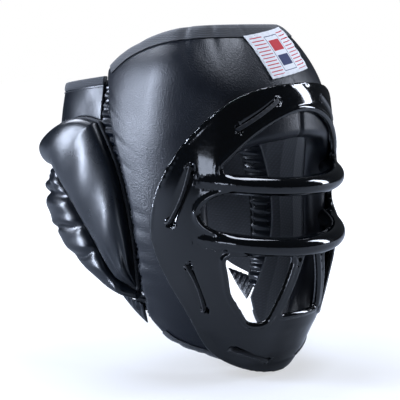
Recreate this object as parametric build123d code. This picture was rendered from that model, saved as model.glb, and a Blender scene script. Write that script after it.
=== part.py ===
"""Boxing headgear: a padded vinyl shell with a laced-on moulded cage and two padded rear wings.

Units are millimetres. The wearer faces -Y, the wearer's left is +X and up is +Z. The origin is
the middle of the space that the head fills, level with the eyes. Each soft part is a slice of
one smooth head form: a layer of the form, trimmed by an outline seen from the side or front.
"""

import os
from math import copysign, cos, pi, sin

from build123d import *

# ---- Head form: height, half width, reach to the front, reach to the back ----
HEAD_STATIONS = [
    (-146, 30, 53, 52),
    (-121, 56, 73, 70),
    (-85, 77, 87, 92),
    (-50, 91, 95, 105),
    (0, 97, 97, 114),
    (40, 97, 94, 116),
    (75, 94, 90, 110),
    (100, 89, 86, 100),
    (125, 80, 71, 88),
    (146, 62, 54, 71),
    (164, 45, 30, 50),
]
HEAD_POWER_FRONT = 2.05  # 2 is an ellipse, more is boxier
HEAD_POWER_BACK = 2.6

# ---- Wing form, behind the head: it is a box with well rounded corners ----
WING_STATIONS = [
    (-95, 75, 60, 72),
    (-40, 78, 60, 82),
    (20, 80, 60, 88),
    (70, 78, 60, 86),
    (115, 72, 60, 80),
]
WING_POWER = 4.0
WING_CENTRE_Y = 56

SECTION_POINTS = 24

# ---- Layers of the shell, as distances inwards from the head form ----
COVER_THICK = 1.5
FOAM_THICK = 17.0
LINING_THICK = 1.5
LAYER_GAP = 0.2
SHELL_THICK = COVER_THICK + FOAM_THICK + LINING_THICK + 2 * LAYER_GAP

# ---- Outlines of the shell seen from the side, as (y, z) ----
RIM = [(-120, 152), (-40, 153), (-2, 149), (30, 138), (62, 119)]
REAR_EDGE = [(62, 119), (48, 86), (31, 50), (16, 10), (10, -36), (13, -70), (17, -94)]
HEM = [(17, -94), (0, -109), (-34, -120), (-70, -134), (-120, -138)]
TAPE = 2.6  # thickness of the binding tape and piping

# ---- Face opening of the shell seen from the front, as (x, z), right half ----
FACE_OPENING = [(0, 62), (40, 58), (68, 44), (79, 8), (70, -42), (44, -86), (0, -97)]

OPENING_CLEARANCE = 0.025  # share by which the bars stay inside the opening's edge

# ---- Cage ----
CAGE_GAP = 0.5
CAGE_WALL = 4.0
CAGE_EDGE = [(-104, 110), (-82, 104), (-63, 86), (-39, 54), (-21, 19), (-16, -8),
             (-25, -44), (-37, -84), (-43, -114), (-60, -131), (-84, -140)]
BAR_RADIUS = 7.8
BARS = ((38.0, 105.0, 7.0), (-5.5, 108.0, 9.5))  # height at the ears, reach, downward pitch
BAR_HALF_WIDTH = 91.0
BAR_HEART = 6.3  # from a bar's middle to the slot beside it, so that the bar covers the edge
BAR_END_ANGLE = 74.0  # degrees from straight ahead
BROW_SLOT = [(72, 43), (56, 61), (30, 78), (0, 85)]
EYE_SLOT_HALF_WIDTH = 84.0
EYE_SLOT_STRAIGHT = 66.0
MOUTH_TOP = -27.0
CHEEK_VENT = [(17, -30), (72, MOUTH_TOP), (64, -60), (46, -87), (33, -87)]
CHIN_VENT = [(8, -30), (24, -81)]
VENT_FILLET = 6.0

# ---- Laces: each pair of holes as (x, z) seen from the front ----
LACES = {
    "brow": ((28, 93), (60, 72)),
    "temple": ((88, 41), (95.5, -2)),
    "cheek": ((87.5, -38), (73, -74)),
    "chin": ((48, -110), (19, -123)),
}
LACE_HOLE_RADIUS = 2.3
LACE_RADIUS = 1.5
LACE_WIDTH = 3.2
LACE_DEPTH = 9.0  # how far the lace goes in behind the cage

# ---- Label on the forehead ----
LABEL_HALF_WIDTH = 26.0
LABEL_HEIGHT = 34.0
LABEL_CENTRE_Z = 130.0
LABEL_TILT = 8.0  # degrees, sewn a little askew
LABEL_THICK = 0.7

# ---- Wings, outlines seen from the side as (y, z) ----
WING_WALL = 3.0
EAR_THICK = 15.0
NECK_THICK = 11.0
EAR_FRONT = [(24, -67), (31, 0), (45, 40), (66, 71)]
EAR_TOP = [(66, 71), (90, 73), (112, 64), (130, 53), (150, 43), (175, 39)]
EAR_BACK = [(175, 22), (140, 27), (115, 28), (95, 6), (77, -16), (58, -40), (43, -57), (24, -67)]
NECK_TOP = [(175, 20.3), (140, 25.2), (116, 26.2), (96.3, 4.7), (78.3, -17.3), (59.3, -41.3),
            (44, -58.7), (24, -69)]
NECK_BOTTOM = [(24, -76), (52, -69.5), (83, -53), (110, -34), (130, -14), (175, -5)]
FLAP_TOP = [(66, 109), (175, 94)]
FLAP_FRONT = [(62, 75), (66, 109)]
GUSSET = [(19, -80), (50, -73.5), (37, -87), (23, -98)]
GUSSET_LAYER = (-7.0, -4.5)
SEAM_TAPE = 2.4
BACK_SPLIT = 2.0  # gap between the wings at the middle of the back

# ---- Rear strap ----
STRAP_Z = (64.0, 88.0)
STRAP_THICK = 2.2
STRAP_X = (-46.0, 40.0)
ANCHOR_X = (40.6, 58.0)
PATCH_THICK = 1.0
PATCH_X = (-43.0, -8.0)
SURFACE_GAP = 0.3

REACH = 260.0  # longer than the part, for cutters

_forms = {}


def superellipse(angle, half_width, reach, power, centre_y, ahead):
    """A point at an angle from straight ahead, on the front or back half of a section."""
    s, c = sin(angle), cos(angle)
    x = half_width * copysign(abs(s) ** (2 / power), s)
    y = reach * abs(c) ** (2 / power)
    return x, centre_y + (-y if ahead else y)


def section(z, half_width, front, back, grow, powers, centre_y):
    """One closed horizontal section of a form, grown outwards by a distance."""
    points = []
    for i in range(SECTION_POINTS):
        angle = 2 * pi * i / SECTION_POINTS
        ahead = cos(angle) > 0
        reach = (front if ahead else back) + grow
        power = powers[0] if ahead else powers[1]
        x, y = superellipse(angle, half_width + grow, reach, power, centre_y, ahead)
        points.append((x, y, z))
    return Wire([Spline(points, periodic=True)])


def head_form(grow):
    """The solid head form, grown outwards by a distance."""
    key = ("head", round(grow, 3))
    if key not in _forms:
        powers = (HEAD_POWER_FRONT, HEAD_POWER_BACK)
        wires = [section(*s, grow, powers, 0) for s in HEAD_STATIONS]
        _forms[key] = Solid.make_loft(wires)
    return _forms[key]


def wing_form(grow):
    """The solid form that the rear wings wrap round, grown outwards by a distance."""
    key = ("wing", round(grow, 3))
    if key not in _forms:
        powers = (WING_POWER, WING_POWER)
        wires = [section(*s, grow, powers, WING_CENTRE_Y) for s in WING_STATIONS]
        _forms[key] = Solid.make_loft(wires)
    return _forms[key]


def head_layer(inner, outer):
    """The part of the head form between two distances, measured outwards."""
    return head_form(outer) - head_form(inner)


def wing_layer(inner, outer):
    """The part of the wing form between two distances, measured outwards."""
    return wing_form(outer) - wing_form(inner)


def side_prism(*edges):
    """A block through the whole width whose side outline is these curves, end to end."""
    lines = []
    for points in edges:
        line = Polyline(*points) if len(points) == 2 else Spline(*points)
        lines.append(line)
    face = make_face(Plane.YZ * Curve(lines))
    return extrude(face, REACH, dir=(1, 0, 0), both=True)


def front_prism(lines, near=-REACH, far=0.0):
    """A block along Y from near to far whose front outline is made of these curves in X and Z."""
    face = make_face(Plane.XZ * Curve(lines))
    return extrude(face, REACH, dir=(0, 1, 0), both=True) & slab("y", near, far)


def slab(axis, low, high):
    """A block that keeps one axis between two values and is as long as needed along the others."""
    size = {"x": REACH * 2, "y": REACH * 2, "z": REACH * 2}
    size[axis] = high - low
    centre = {"x": 0, "y": 0, "z": 0}
    centre[axis] = (low + high) / 2
    return Pos(centre["x"], centre["y"], centre["z"]) * Box(size["x"], size["y"], size["z"])


def moved(points, dy, dz):
    """The same outline, shifted in the side view."""
    return [(y + dy, z + dz) for y, z in points]


def mirrored(points):
    """A front outline's right half turned into its left half, from the other end."""
    return [(-x, z) for x, z in reversed(points)]


def half(shape, side):
    """The left (+1) or right (-1) half of a shape."""
    return shape & (slab("x", 0, REACH) if side > 0 else slab("x", -REACH, 0))


def shell_outline():
    """The side outline of the padded shell."""
    return side_prism(RIM, REAR_EDGE, HEM, [HEM[-1], RIM[0]])


def face_opening(inset=0.0):
    """The hole in the front of the padded shell, made smaller by a share of its size."""
    keep = 1 - inset
    middle = (FACE_OPENING[0][1] + FACE_OPENING[-1][1]) / 2
    half_ring = [(x * keep, middle + (z - middle) * keep) for x, z in FACE_OPENING]
    ring = half_ring + mirrored(half_ring)[1:-1]
    return front_prism([Spline(*ring, periodic=True)], -REACH, -8)


def surface_y(x, z, grow):
    """Where a line along Y at this x and z meets the front of the head form."""
    line = Line((x, -REACH, z), (x, 0, z))
    inside = head_form(grow) & line
    return min(edge.bounding_box().min.Y for edge in inside.edges())


def outward(x, y, z):
    """Roughly the outward direction of the head form at a point on it."""
    direction = Vector(x / 97, y / 90, z / 400)
    return direction.normalized()


def lace_ends(name, side, grow):
    """The two points on the head form where a lace goes in."""
    ends = []
    for x, z in LACES[name]:
        ends.append(Vector(side * x, surface_y(side * x, z, grow), z))
    return ends


def rod(point, direction, radius, inwards, outwards):
    """A round rod through a point, along a direction."""
    start = point - direction * inwards
    plane = Plane(origin=start, z_dir=direction)
    return plane * Cylinder(radius, inwards + outwards, align=(Align.CENTER, Align.CENTER, Align.MIN))


def lace_rods(radius, inwards, outwards, names=LACES, sides=(1, -1)):
    """A rod at each lace hole, for drilling."""
    rods = []
    for name in names:
        for side in sides:
            for point in lace_ends(name, side, CAGE_GAP + CAGE_WALL):
                rods.append(rod(point, outward(*point), radius, inwards, outwards))
    return rods


def pierced(shape, names=LACES, sides=(1, -1)):
    """A piece of the shell with the holes that its laces use."""
    for hole in lace_rods(LACE_RADIUS + 0.3, LACE_DEPTH + 0.5, 2, names, sides):
        shape -= hole
    return shape


def lace(name, side):
    """One lace: a flat run over the cage between two holes, with a round leg into each."""
    outer = CAGE_GAP + CAGE_WALL
    a, b = lace_ends(name, side, outer)
    direction = outward(*((a + b) / 2))
    plane = Plane(origin=(a + b) / 2, x_dir=b - a, z_dir=direction)
    length = (b - a).length + LACE_WIDTH
    strip = plane * Box(length, LACE_WIDTH, 40)
    band = head_layer(outer + SURFACE_GAP, outer + SURFACE_GAP + 1.2) & strip
    legs = [rod(p, outward(*p), LACE_RADIUS, LACE_DEPTH, SURFACE_GAP + 0.8) for p in (a, b)]
    return band + legs[0] + legs[1]


def vent(points, radius=VENT_FILLET):
    """A cutter for one vent with rounded lower corners, seen from the front."""
    face = make_face(Plane.XZ * Polyline(*points, close=True))
    low = [v for v in face.vertices() if v.Z < MOUTH_TOP - 1]
    face = fillet(low, radius)
    return extrude(face, REACH, dir=(0, 1, 0), both=True) & slab("y", -REACH, -20)


def bar_height(bar, x):
    """The height of a bar's middle at a distance to the side."""
    height, reach, pitch = bar
    drop = reach * sin(pitch * pi / 180)
    return height - drop * (1 - (x / BAR_HALF_WIDTH) ** 2) ** 0.5


def beside_bar(bar, offset, end):
    """The edge of a slot that follows a bar, as points from left to right."""
    places = [-end, -end * 0.6, -end * 0.25, end * 0.25, end * 0.6, end]
    return [(x, bar_height(bar, x) + offset) for x in places]


def cage_openings():
    """The slots and vents of the cage, as one list of cutters seen from the front."""
    upper, lower = BARS
    arch = BROW_SLOT + mirrored(BROW_SLOT)[1:]
    corner = BROW_SLOT[0]
    base = beside_bar(upper, BAR_HEART, corner[0])
    brow_face = [
        Spline(*arch),
        Line((-corner[0], corner[1]), base[0]),
        Spline(*base),
        Line(base[-1], corner),
    ]
    top = beside_bar(upper, -BAR_HEART, EYE_SLOT_STRAIGHT)
    low = beside_bar(lower, BAR_HEART, EYE_SLOT_STRAIGHT)
    middle = (top[0][1] + low[0][1]) / 2
    eye_face = [
        Spline(*top),
        ThreePointArc(top[-1], (EYE_SLOT_HALF_WIDTH, middle), low[-1]),
        Spline(*reversed(low)),
        ThreePointArc(low[0], (-EYE_SLOT_HALF_WIDTH, middle), top[0]),
    ]
    cutters = [front_prism(brow_face, -REACH, -20), front_prism(eye_face, -REACH, -20)]
    for side in (1, -1):
        cutters.append(vent([(side * x, z) for x, z in CHEEK_VENT]))
    (x1, z1), (x2, z2) = CHIN_VENT
    cutters.append(vent([(-x1, z1), (x1, z1), (x2, z2), (-x2, z2)], 2.5))
    return cutters


def cage_bar(bar):
    """One round bar across the cage, bowed forwards and pitched down to the front."""
    height, reach, pitch = bar
    path = EllipticalCenterArc(
        center=(0, 0), x_radius=BAR_HALF_WIDTH, y_radius=reach,
        start_angle=-90 - BAR_END_ANGLE, arc_size=2 * BAR_END_ANGLE,
    )
    path = Pos(0, 0, height) * Rot(pitch, 0, 0) * path
    start = path @ 0
    profile = Plane(origin=start, z_dir=path % 0) * Circle(BAR_RADIUS)
    return sweep(profile, path)


def face_cage():
    """The moulded cage: a flange that hugs the shell, two bars, and struts between the vents."""
    wall = head_layer(CAGE_GAP, CAGE_GAP + CAGE_WALL)
    outline = side_prism(CAGE_EDGE, [CAGE_EDGE[-1], (-150, -140)], [(-150, -140), (-150, 108)],
                         [(-150, 108), CAGE_EDGE[0]])
    cage = wall & outline
    for cutter in cage_openings() + lace_rods(LACE_HOLE_RADIUS, 9, 6):
        cage -= cutter
    padding = head_form(CAGE_GAP) - face_opening(OPENING_CLEARANCE)
    for bar in BARS:
        cage += cage_bar(bar) - padding
    return cage


def shell_layer(inner, outer):
    """A layer of the padded shell, with its face opening."""
    return (head_layer(inner, outer) - face_opening()) & shell_outline()


def shell_parts():
    """Cover, foam and lining of the padded shell."""
    cover_in = -COVER_THICK
    foam_out = cover_in - LAYER_GAP
    foam_in = foam_out - FOAM_THICK
    lining_out = foam_in - LAYER_GAP
    cover = shell_layer(cover_in, 0)
    foam = shell_layer(foam_in, foam_out)
    lining = shell_layer(-SHELL_THICK, lining_out)
    middle = slab("x", -46, 46)
    top = slab("z", 40, REACH) & slab("y", -REACH, 10)
    bottom = slab("z", -REACH, -60)
    forehead = foam & middle & top
    chin = foam & middle & bottom
    sides = foam - (middle & top) - (middle & bottom)
    return {
        "cover_left": pierced(half(cover, 1), sides=(1,)),
        "cover_right": pierced(half(cover, -1), sides=(-1,)),
        "forehead_foam": pierced(forehead, ("brow",)),
        "chin_foam": pierced(chin, ("chin",)),
        "side_foam_left": pierced(half(sides, 1), sides=(1,)),
        "side_foam_right": pierced(half(sides, -1), sides=(-1,)),
        "lining_left": half(lining, 1),
        "lining_right": half(lining, -1),
    }


def edge_tapes():
    """Binding and piping along the edges of the padded shell."""
    wide = head_layer(-SHELL_THICK - 0.4, 0.35)
    rim_top = moved(RIM, 0, TAPE + 0.1)
    rim_low = moved(RIM, 0, 0.1)
    end = [rim_top[-1], rim_low[-1]]
    rim = wide & side_prism(rim_top, end, list(reversed(rim_low)), [rim_low[0], rim_top[0]])
    rear_out = moved(REAR_EDGE, TAPE + 0.1, 0)
    rear_in = moved(REAR_EDGE, 0.1, 0)
    rear = wide & side_prism(rear_out, [rear_out[-1], rear_in[-1]], list(reversed(rear_in)),
                             [rear_in[0], rear_out[0]])
    hem_low = moved(HEM, 0, -TAPE - 0.1)
    hem_top = moved(HEM, 0, -0.1)
    hem = wide & side_prism(hem_top, [hem_top[-1], hem_low[-1]], list(reversed(hem_low)),
                            [hem_low[0], hem_top[0]])
    return {
        "crown_binding": rim,
        "rear_piping_left": half(rear, 1),
        "rear_piping_right": half(rear, -1),
        "hem_binding": hem,
    }


def jaw_gusset(side):
    """The small panel between the rear corner of the jaw and the bottom of the wing."""
    outline = side_prism(GUSSET[0:2], GUSSET[1:4], [GUSSET[3], GUSSET[0]])
    return half(head_layer(*GUSSET_LAYER) & outline, side)


def label():
    """The sewn label on the forehead."""
    patch = head_layer(SURFACE_GAP, SURFACE_GAP + LABEL_THICK)
    block = Box(2 * LABEL_HALF_WIDTH, REACH, LABEL_HEIGHT)
    return patch & (Pos(0, -REACH / 2, LABEL_CENTRE_Z) * Rot(0, -LABEL_TILT, 0) * block)


def wing_half(shape, side):
    """One wing's share of a shape: its side of the split at the back."""
    split = BACK_SPLIT / 2
    return shape & (slab("x", split, REACH) if side > 0 else slab("x", -REACH, -split))


def wing_parts(side):
    """The pieces of one rear wing: side +1 is the wearer's left."""
    name = "left" if side > 0 else "right"
    whole = side_prism(EAR_FRONT, EAR_TOP, [EAR_TOP[-1], NECK_BOTTOM[-1]],
                       list(reversed(NECK_BOTTOM)), [NECK_BOTTOM[0], EAR_FRONT[0]])
    ear = side_prism(EAR_FRONT, EAR_TOP, [EAR_TOP[-1], EAR_BACK[0]], EAR_BACK)
    neck = side_prism(NECK_TOP, [NECK_TOP[-1], NECK_BOTTOM[0]], NECK_BOTTOM,
                      [NECK_BOTTOM[-1], NECK_TOP[0]])
    front_out = moved(EAR_FRONT, -SEAM_TAPE - 0.2, 0)
    front_in = moved(EAR_FRONT, -0.2, 0)
    seam = side_prism(front_out, [front_out[-1], front_in[-1]], list(reversed(front_in)),
                      [front_in[0], front_out[0]])
    low = list(reversed(moved(EAR_TOP, 0, 1.5)))
    flap = side_prism(FLAP_FRONT, FLAP_TOP, [FLAP_TOP[-1], low[0]], low, [low[-1], FLAP_FRONT[0]])
    hem_low = moved(FLAP_TOP, 0, 0.1)
    hem_top = moved(FLAP_TOP, 0, TAPE)
    hem = side_prism(hem_low, [hem_low[-1], hem_top[-1]], list(reversed(hem_top)),
                     [hem_top[0], hem_low[0]])
    backing = wing_layer(-WING_WALL, 0)
    return {
        f"wing_backing_{name}": wing_half(backing & whole, side),
        f"ear_cushion_{name}": wing_half(wing_layer(0.2, EAR_THICK) & ear, side),
        f"neck_cushion_{name}": wing_half(wing_layer(0.2, NECK_THICK) & neck, side),
        f"ear_seam_tape_{name}": wing_half(wing_layer(-WING_WALL, 2.5) & seam, side),
        f"rear_flap_{name}": wing_half(backing & flap, side),
        f"flap_binding_{name}": wing_half(wing_layer(-WING_WALL - 0.4, 0.4) & hem, side),
    }


def closure_parts():
    """The hook-and-loop strap that joins the wings at the back."""
    band = slab("z", *STRAP_Z) & slab("y", 60, REACH)
    low = SURFACE_GAP + PATCH_THICK
    hook_low = low + 0.3
    strap_low = hook_low + PATCH_THICK + 0.1
    return {
        "loop_patch": wing_layer(SURFACE_GAP, low) & band & slab("x", *PATCH_X),
        "hook_patch": wing_layer(hook_low, hook_low + PATCH_THICK) & band & slab("x", *PATCH_X),
        "rear_strap": wing_layer(strap_low, strap_low + STRAP_THICK) & band & slab("x", *STRAP_X),
        "strap_anchor": wing_layer(SURFACE_GAP, strap_low + STRAP_THICK) & band
        & slab("x", *ANCHOR_X),
    }


def main():
    """Builds every sub-part and writes one STEP file for each."""
    parts = dict(shell_parts())
    parts.update(edge_tapes())
    parts["face_cage"] = face_cage()
    parts["forehead_label"] = label()
    parts["jaw_gusset_left"] = jaw_gusset(1)
    parts["jaw_gusset_right"] = jaw_gusset(-1)
    for name in LACES:
        parts[f"lace_{name}_left"] = lace(name, 1)
        parts[f"lace_{name}_right"] = lace(name, -1)
    parts.update(wing_parts(1))
    parts.update(wing_parts(-1))
    parts.update(closure_parts())
    os.makedirs("parts", exist_ok=True)
    for name, shape in parts.items():
        solids = shape.solids()
        print(name, len(solids), round(sum(s.volume for s in solids)))
        export_step(Compound(children=list(solids)), f"parts/{name}.step")


main()
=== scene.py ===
"""Boxing headgear: a padded vinyl shell, a laced moulded cage and two padded rear wings."""

import logging
import math
from dataclasses import dataclass
from enum import Enum
from typing import Callable, Sequence

import bpy
import numpy as np
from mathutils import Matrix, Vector


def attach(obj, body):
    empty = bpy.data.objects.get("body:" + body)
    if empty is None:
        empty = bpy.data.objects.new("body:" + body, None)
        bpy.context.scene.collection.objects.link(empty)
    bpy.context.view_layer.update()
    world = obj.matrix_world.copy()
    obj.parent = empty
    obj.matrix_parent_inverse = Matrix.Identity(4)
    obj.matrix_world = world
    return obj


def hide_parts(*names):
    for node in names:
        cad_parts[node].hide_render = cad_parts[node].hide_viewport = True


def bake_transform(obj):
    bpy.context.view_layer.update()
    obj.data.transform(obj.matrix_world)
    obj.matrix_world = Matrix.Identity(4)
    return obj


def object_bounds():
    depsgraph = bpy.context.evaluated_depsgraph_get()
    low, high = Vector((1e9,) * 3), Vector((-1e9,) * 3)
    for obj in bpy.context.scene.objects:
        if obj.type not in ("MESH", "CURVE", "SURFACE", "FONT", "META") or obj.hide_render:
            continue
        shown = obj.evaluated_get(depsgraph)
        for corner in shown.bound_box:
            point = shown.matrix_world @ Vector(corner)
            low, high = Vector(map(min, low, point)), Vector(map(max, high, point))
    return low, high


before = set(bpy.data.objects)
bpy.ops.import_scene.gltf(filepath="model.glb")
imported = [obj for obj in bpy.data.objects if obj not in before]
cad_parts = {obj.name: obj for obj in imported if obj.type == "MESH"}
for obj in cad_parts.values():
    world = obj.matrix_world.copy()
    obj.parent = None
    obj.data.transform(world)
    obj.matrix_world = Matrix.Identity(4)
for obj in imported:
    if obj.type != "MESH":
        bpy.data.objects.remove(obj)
CAD_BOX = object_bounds()

logging.basicConfig(level=logging.INFO, format="%(message)s")
LOG = logging.getLogger("headgear")

MM = 0.001
Array = np.ndarray
Points2 = Sequence[tuple[float, float]]
Place = Callable[[Array, Array], Array]


class Side(Enum):
    """The wearer's left or right, with the sign of X there."""

    LEFT = 1
    RIGHT = -1

    @property
    def word(self) -> str:
        """The side's name as the pieces use it."""
        return self.name.lower()


class Body(Enum):
    """The bodies that move."""

    SHELL = "shell"
    WING_LEFT = "wing_left"
    WING_RIGHT = "wing_right"
    STRAP = "rear_strap"


# ---------------------------------------------------------------- curves and forms


def natural_spline(xs: Sequence[float], ys: Array) -> Callable[[Array], Array]:
    """A smooth curve through points.

    Args:
        xs: Rising positions.
        ys: One value, or one row of values, at each position.

    Returns:
        A function of position that gives the values.
    """
    x = np.asarray(xs, float)
    y = np.asarray(ys, float)
    flat = y.reshape(len(x), -1)
    h = np.diff(x)
    n = len(x)
    system = np.eye(n)
    right = np.zeros_like(flat)
    for i in range(1, n - 1):
        system[i, i - 1 : i + 2] = (h[i - 1], 2 * (h[i - 1] + h[i]), h[i])
        right[i] = 6 * ((flat[i + 1] - flat[i]) / h[i] - (flat[i] - flat[i - 1]) / h[i - 1])
    bend = np.linalg.solve(system, right)

    def at(q: Array) -> Array:
        """The values at positions q."""
        q = np.asarray(q, float)
        i = np.clip(np.searchsorted(x, q) - 1, 0, n - 2)
        t0 = (q - x[i])[..., None]
        t1 = (x[i + 1] - q)[..., None]
        hi = h[i][..., None]
        value = (bend[i] * t1**3 + bend[i + 1] * t0**3) / (6 * hi)
        value += (flat[i] / hi - bend[i] * hi / 6) * t1
        value += (flat[i + 1] / hi - bend[i + 1] * hi / 6) * t0
        return value.reshape(q.shape + y.shape[1:])

    return at


def run_lengths(points: Array) -> Array:
    """The distance run along a path at each of its points."""
    return np.concatenate([[0], np.cumsum(np.linalg.norm(np.diff(points, axis=0), axis=1))])


def unit(rows: Array, least: float = 0.0) -> Array:
    """Each row at length 1. A small least length keeps a row of zeros at zero."""
    return rows / (np.linalg.norm(rows, axis=1, keepdims=True) + least)


def squared(wave: Array, power: float) -> Array:
    """A sine or cosine to a power, with its sign kept: below 1 it squares a round section off."""
    return np.sign(wave) * np.abs(wave) ** power


def smooth_line(points: Points2, count: int) -> Array:
    """Evenly spaced samples of a smooth line through points.

    Args:
        points: The points that the line goes through.
        count: How many samples.

    Returns:
        The samples, one row each.
    """
    p = np.asarray(points, float)
    if len(p) == 2:
        return p[0] + np.linspace(0, 1, count)[:, None] * (p[1] - p[0])
    chord = run_lengths(p)
    dense = natural_spline(chord, p)(np.linspace(0, chord[-1], 400))
    run = run_lengths(dense)
    even = np.linspace(0, run[-1], count)
    return np.stack([np.interp(even, run, dense[:, k]) for k in range(p.shape[1])], 1)


def along(line: Array, t: Array) -> Array:
    """Points at shares t (0 to 1) of the way along a sampled line."""
    q = np.clip(t, 0, 1) * (len(line) - 1)
    i = np.minimum(q.astype(int), len(line) - 2)
    f = (q - i)[:, None]
    return line[i] * (1 - f) + line[i + 1] * f


@dataclass
class Form:
    """A smooth form made of horizontal superellipses, in millimetres.

    Each station is height, half width, reach to the front and reach to the back.
    """

    stations: Sequence[tuple[float, float, float, float]]
    power_front: float
    power_back: float
    centre_y: float

    def __post_init__(self) -> None:
        """Prepares the smooth sizes by height."""
        table = np.asarray(self.stations, float)
        self.sizes = natural_spline(table[:, 0], table[:, 1:])

    def point(self, phi: Array, z: Array, grow: Array) -> Array:
        """Points at an angle from straight ahead (towards +X), a height and a growth."""
        s, c = np.sin(phi), np.cos(phi)
        size = self.sizes(z)
        wide = size[..., 0] + grow
        reach = np.where(c > 0, size[..., 1], size[..., 2]) + grow
        power = np.where(c > 0, self.power_front, self.power_back)
        r = (np.abs(s / wide) ** power + np.abs(c / reach) ** power) ** (-1 / power)
        return np.stack([r * s, self.centre_y - r * c, z * np.ones_like(r)], -1)

    def phi_side(self, y: Array, z: Array) -> Array:
        """The angle, on the +X side, of the point of the form at this y and z."""
        size = self.sizes(z)
        dy = np.asarray(y, float) - self.centre_y
        reach = np.where(dy < 0, size[..., 1], size[..., 2])
        power = np.where(dy < 0, self.power_front, self.power_back)
        share = np.clip(np.abs(dy) / reach, 0, 1)
        x = size[..., 0] * (1 - share**power) ** (1 / power)
        return np.arctan2(x, -np.clip(dy, -reach, reach))

    def phi_front(self, x: Array, z: Array) -> Array:
        """The angle of the point on the front of the form at this x and z."""
        size = self.sizes(z)
        share = np.clip(np.abs(x) / size[..., 0], 0, 1)
        y = size[..., 1] * (1 - share**self.power_front) ** (1 / self.power_front)
        return np.arctan2(x, y)

    def front(self, x: Array, z: Array, grow: Array | float) -> Array:
        """Points on the front of the grown form, at these x and z."""
        size = self.sizes(z)
        share = np.clip(np.abs(x) / (size[..., 0] + grow), 0, 1)
        reach = size[..., 1] + grow
        y = self.centre_y - reach * (1 - share**self.power_front) ** (1 / self.power_front)
        return np.stack([np.asarray(x, float), y, np.asarray(z, float)], -1)

    def side(self, y: Array, z: Array, grow: float) -> Array:
        """Points on the +X side of the grown form, at these y and z."""
        size = self.sizes(z)
        dy = np.asarray(y, float) - self.centre_y
        reach = np.where(dy < 0, size[..., 1], size[..., 2]) + grow
        power = np.where(dy < 0, self.power_front, self.power_back)
        share = np.clip(np.abs(dy) / reach, 0, 1)
        x = (size[..., 0] + grow) * (1 - share**power) ** (1 / power)
        return np.stack([x, np.asarray(y, float), np.asarray(z, float)], -1)

    def growth(self, p: Array) -> Array:
        """How far the form must grow to reach each point."""
        x = np.abs(p[:, 0])
        dy = p[:, 1] - self.centre_y
        size = self.sizes(p[:, 2])
        wide = size[:, 0]
        reach = np.where(dy < 0, size[:, 1], size[:, 2])
        power = np.where(dy < 0, self.power_front, self.power_back)
        y = np.abs(dy)
        g = np.hypot(x, y) - 0.5 * (wide + reach)
        for _ in range(6):
            a = np.maximum(wide + g, 5.0)
            b = np.maximum(reach + g, 5.0)
            u = (x / a) ** power
            v = (y / b) ** power
            value = (u + v) ** (1 / power) - 1
            slope = -((u + v) ** (1 / power - 1)) * (u / a + v / b)
            g = g - value / np.minimum(slope, -1e-4)
        return g


HEAD = Form(
    [
        (-146, 30, 53, 52), (-121, 56, 73, 70), (-85, 77, 87, 92), (-50, 91, 95, 105),
        (0, 97, 97, 114), (40, 97, 94, 116), (75, 94, 90, 110), (100, 89, 86, 100),
        (125, 80, 71, 88), (146, 62, 54, 71), (164, 45, 30, 50),
    ],
    2.05, 2.6, 0.0,
)
WING = Form(
    [(-95, 75, 60, 72), (-40, 78, 60, 82), (20, 80, 60, 88), (70, 78, 60, 86), (115, 72, 60, 80)],
    4.0, 4.0, 56.0,
)

RIM = [(-120, 152), (-40, 153), (-2, 149), (30, 138), (62, 119)]
REAR_EDGE = [(62, 119), (48, 86), (31, 50), (16, 10), (10, -36), (13, -70), (17, -94)]
HEM = [(17, -94), (0, -109), (-34, -120), (-70, -134), (-120, -138)]
FACE_OPENING = [(0, 62), (40, 58), (68, 44), (79, 8), (70, -42), (44, -86), (0, -97)]


def smoothstep(x: Array, low: float, high: float) -> Array:
    """0 below low, 1 above high and smooth between."""
    t = np.clip((x - low) / (high - low), 0, 1)
    return t * t * (3 - 2 * t)


def bell(x: Array, centre: float, width: float) -> Array:
    """A smooth bump of height 1."""
    return np.exp(-(((x - centre) / width) ** 2))


# ---------------------------------------------------------------- mesh helpers


def deselect() -> None:
    """Leaves nothing selected and no object in edit mode."""
    if bpy.context.object and bpy.context.object.mode != "OBJECT":
        bpy.ops.object.mode_set(mode="OBJECT")
    bpy.ops.object.select_all(action="DESELECT")


def activate(obj: bpy.types.Object) -> None:
    """Makes one object the selected and active one."""
    deselect()
    obj.select_set(True)
    bpy.context.view_layer.objects.active = obj


def coords(obj: bpy.types.Object) -> Array:
    """The object's vertices, in metres."""
    flat = np.empty(len(obj.data.vertices) * 3)
    obj.data.vertices.foreach_get("co", flat)
    return flat.reshape(-1, 3)


def move_to(obj: bpy.types.Object, points: Array) -> None:
    """Puts the object's vertices at these points, in metres."""
    obj.data.vertices.foreach_set("co", np.ascontiguousarray(points, float).ravel())
    obj.data.update()


def in_edit(obj: bpy.types.Object, work: Callable[[], None], select: str = "SELECT") -> None:
    """Runs operators on an object in edit mode.

    Args:
        obj: The object.
        work: What to do.
        select: Whether all of it is selected first.
    """
    activate(obj)
    bpy.ops.object.mode_set(mode="EDIT")
    bpy.ops.mesh.select_all(action=select)
    work()
    bpy.ops.object.mode_set(mode="OBJECT")


def close_seams(obj: bpy.types.Object, fill: bool) -> None:
    """Joins the edges that meet, fills open ends if asked and turns the faces outwards."""

    def work() -> None:
        """The operators, in order."""
        bpy.ops.mesh.remove_doubles(threshold=2e-6)
        if fill:
            bpy.ops.mesh.select_all(action="DESELECT")
            bpy.ops.mesh.select_mode(type="EDGE")
            bpy.ops.mesh.select_non_manifold(extend=False, use_wire=False, use_multi_face=False,
                                             use_non_contiguous=False, use_verts=False)
            bpy.ops.mesh.edge_face_add()
            bpy.ops.mesh.select_mode(type="VERT")
            bpy.ops.mesh.select_all(action="SELECT")
        bpy.ops.mesh.normals_make_consistent(inside=False)

    in_edit(obj, work)


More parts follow.
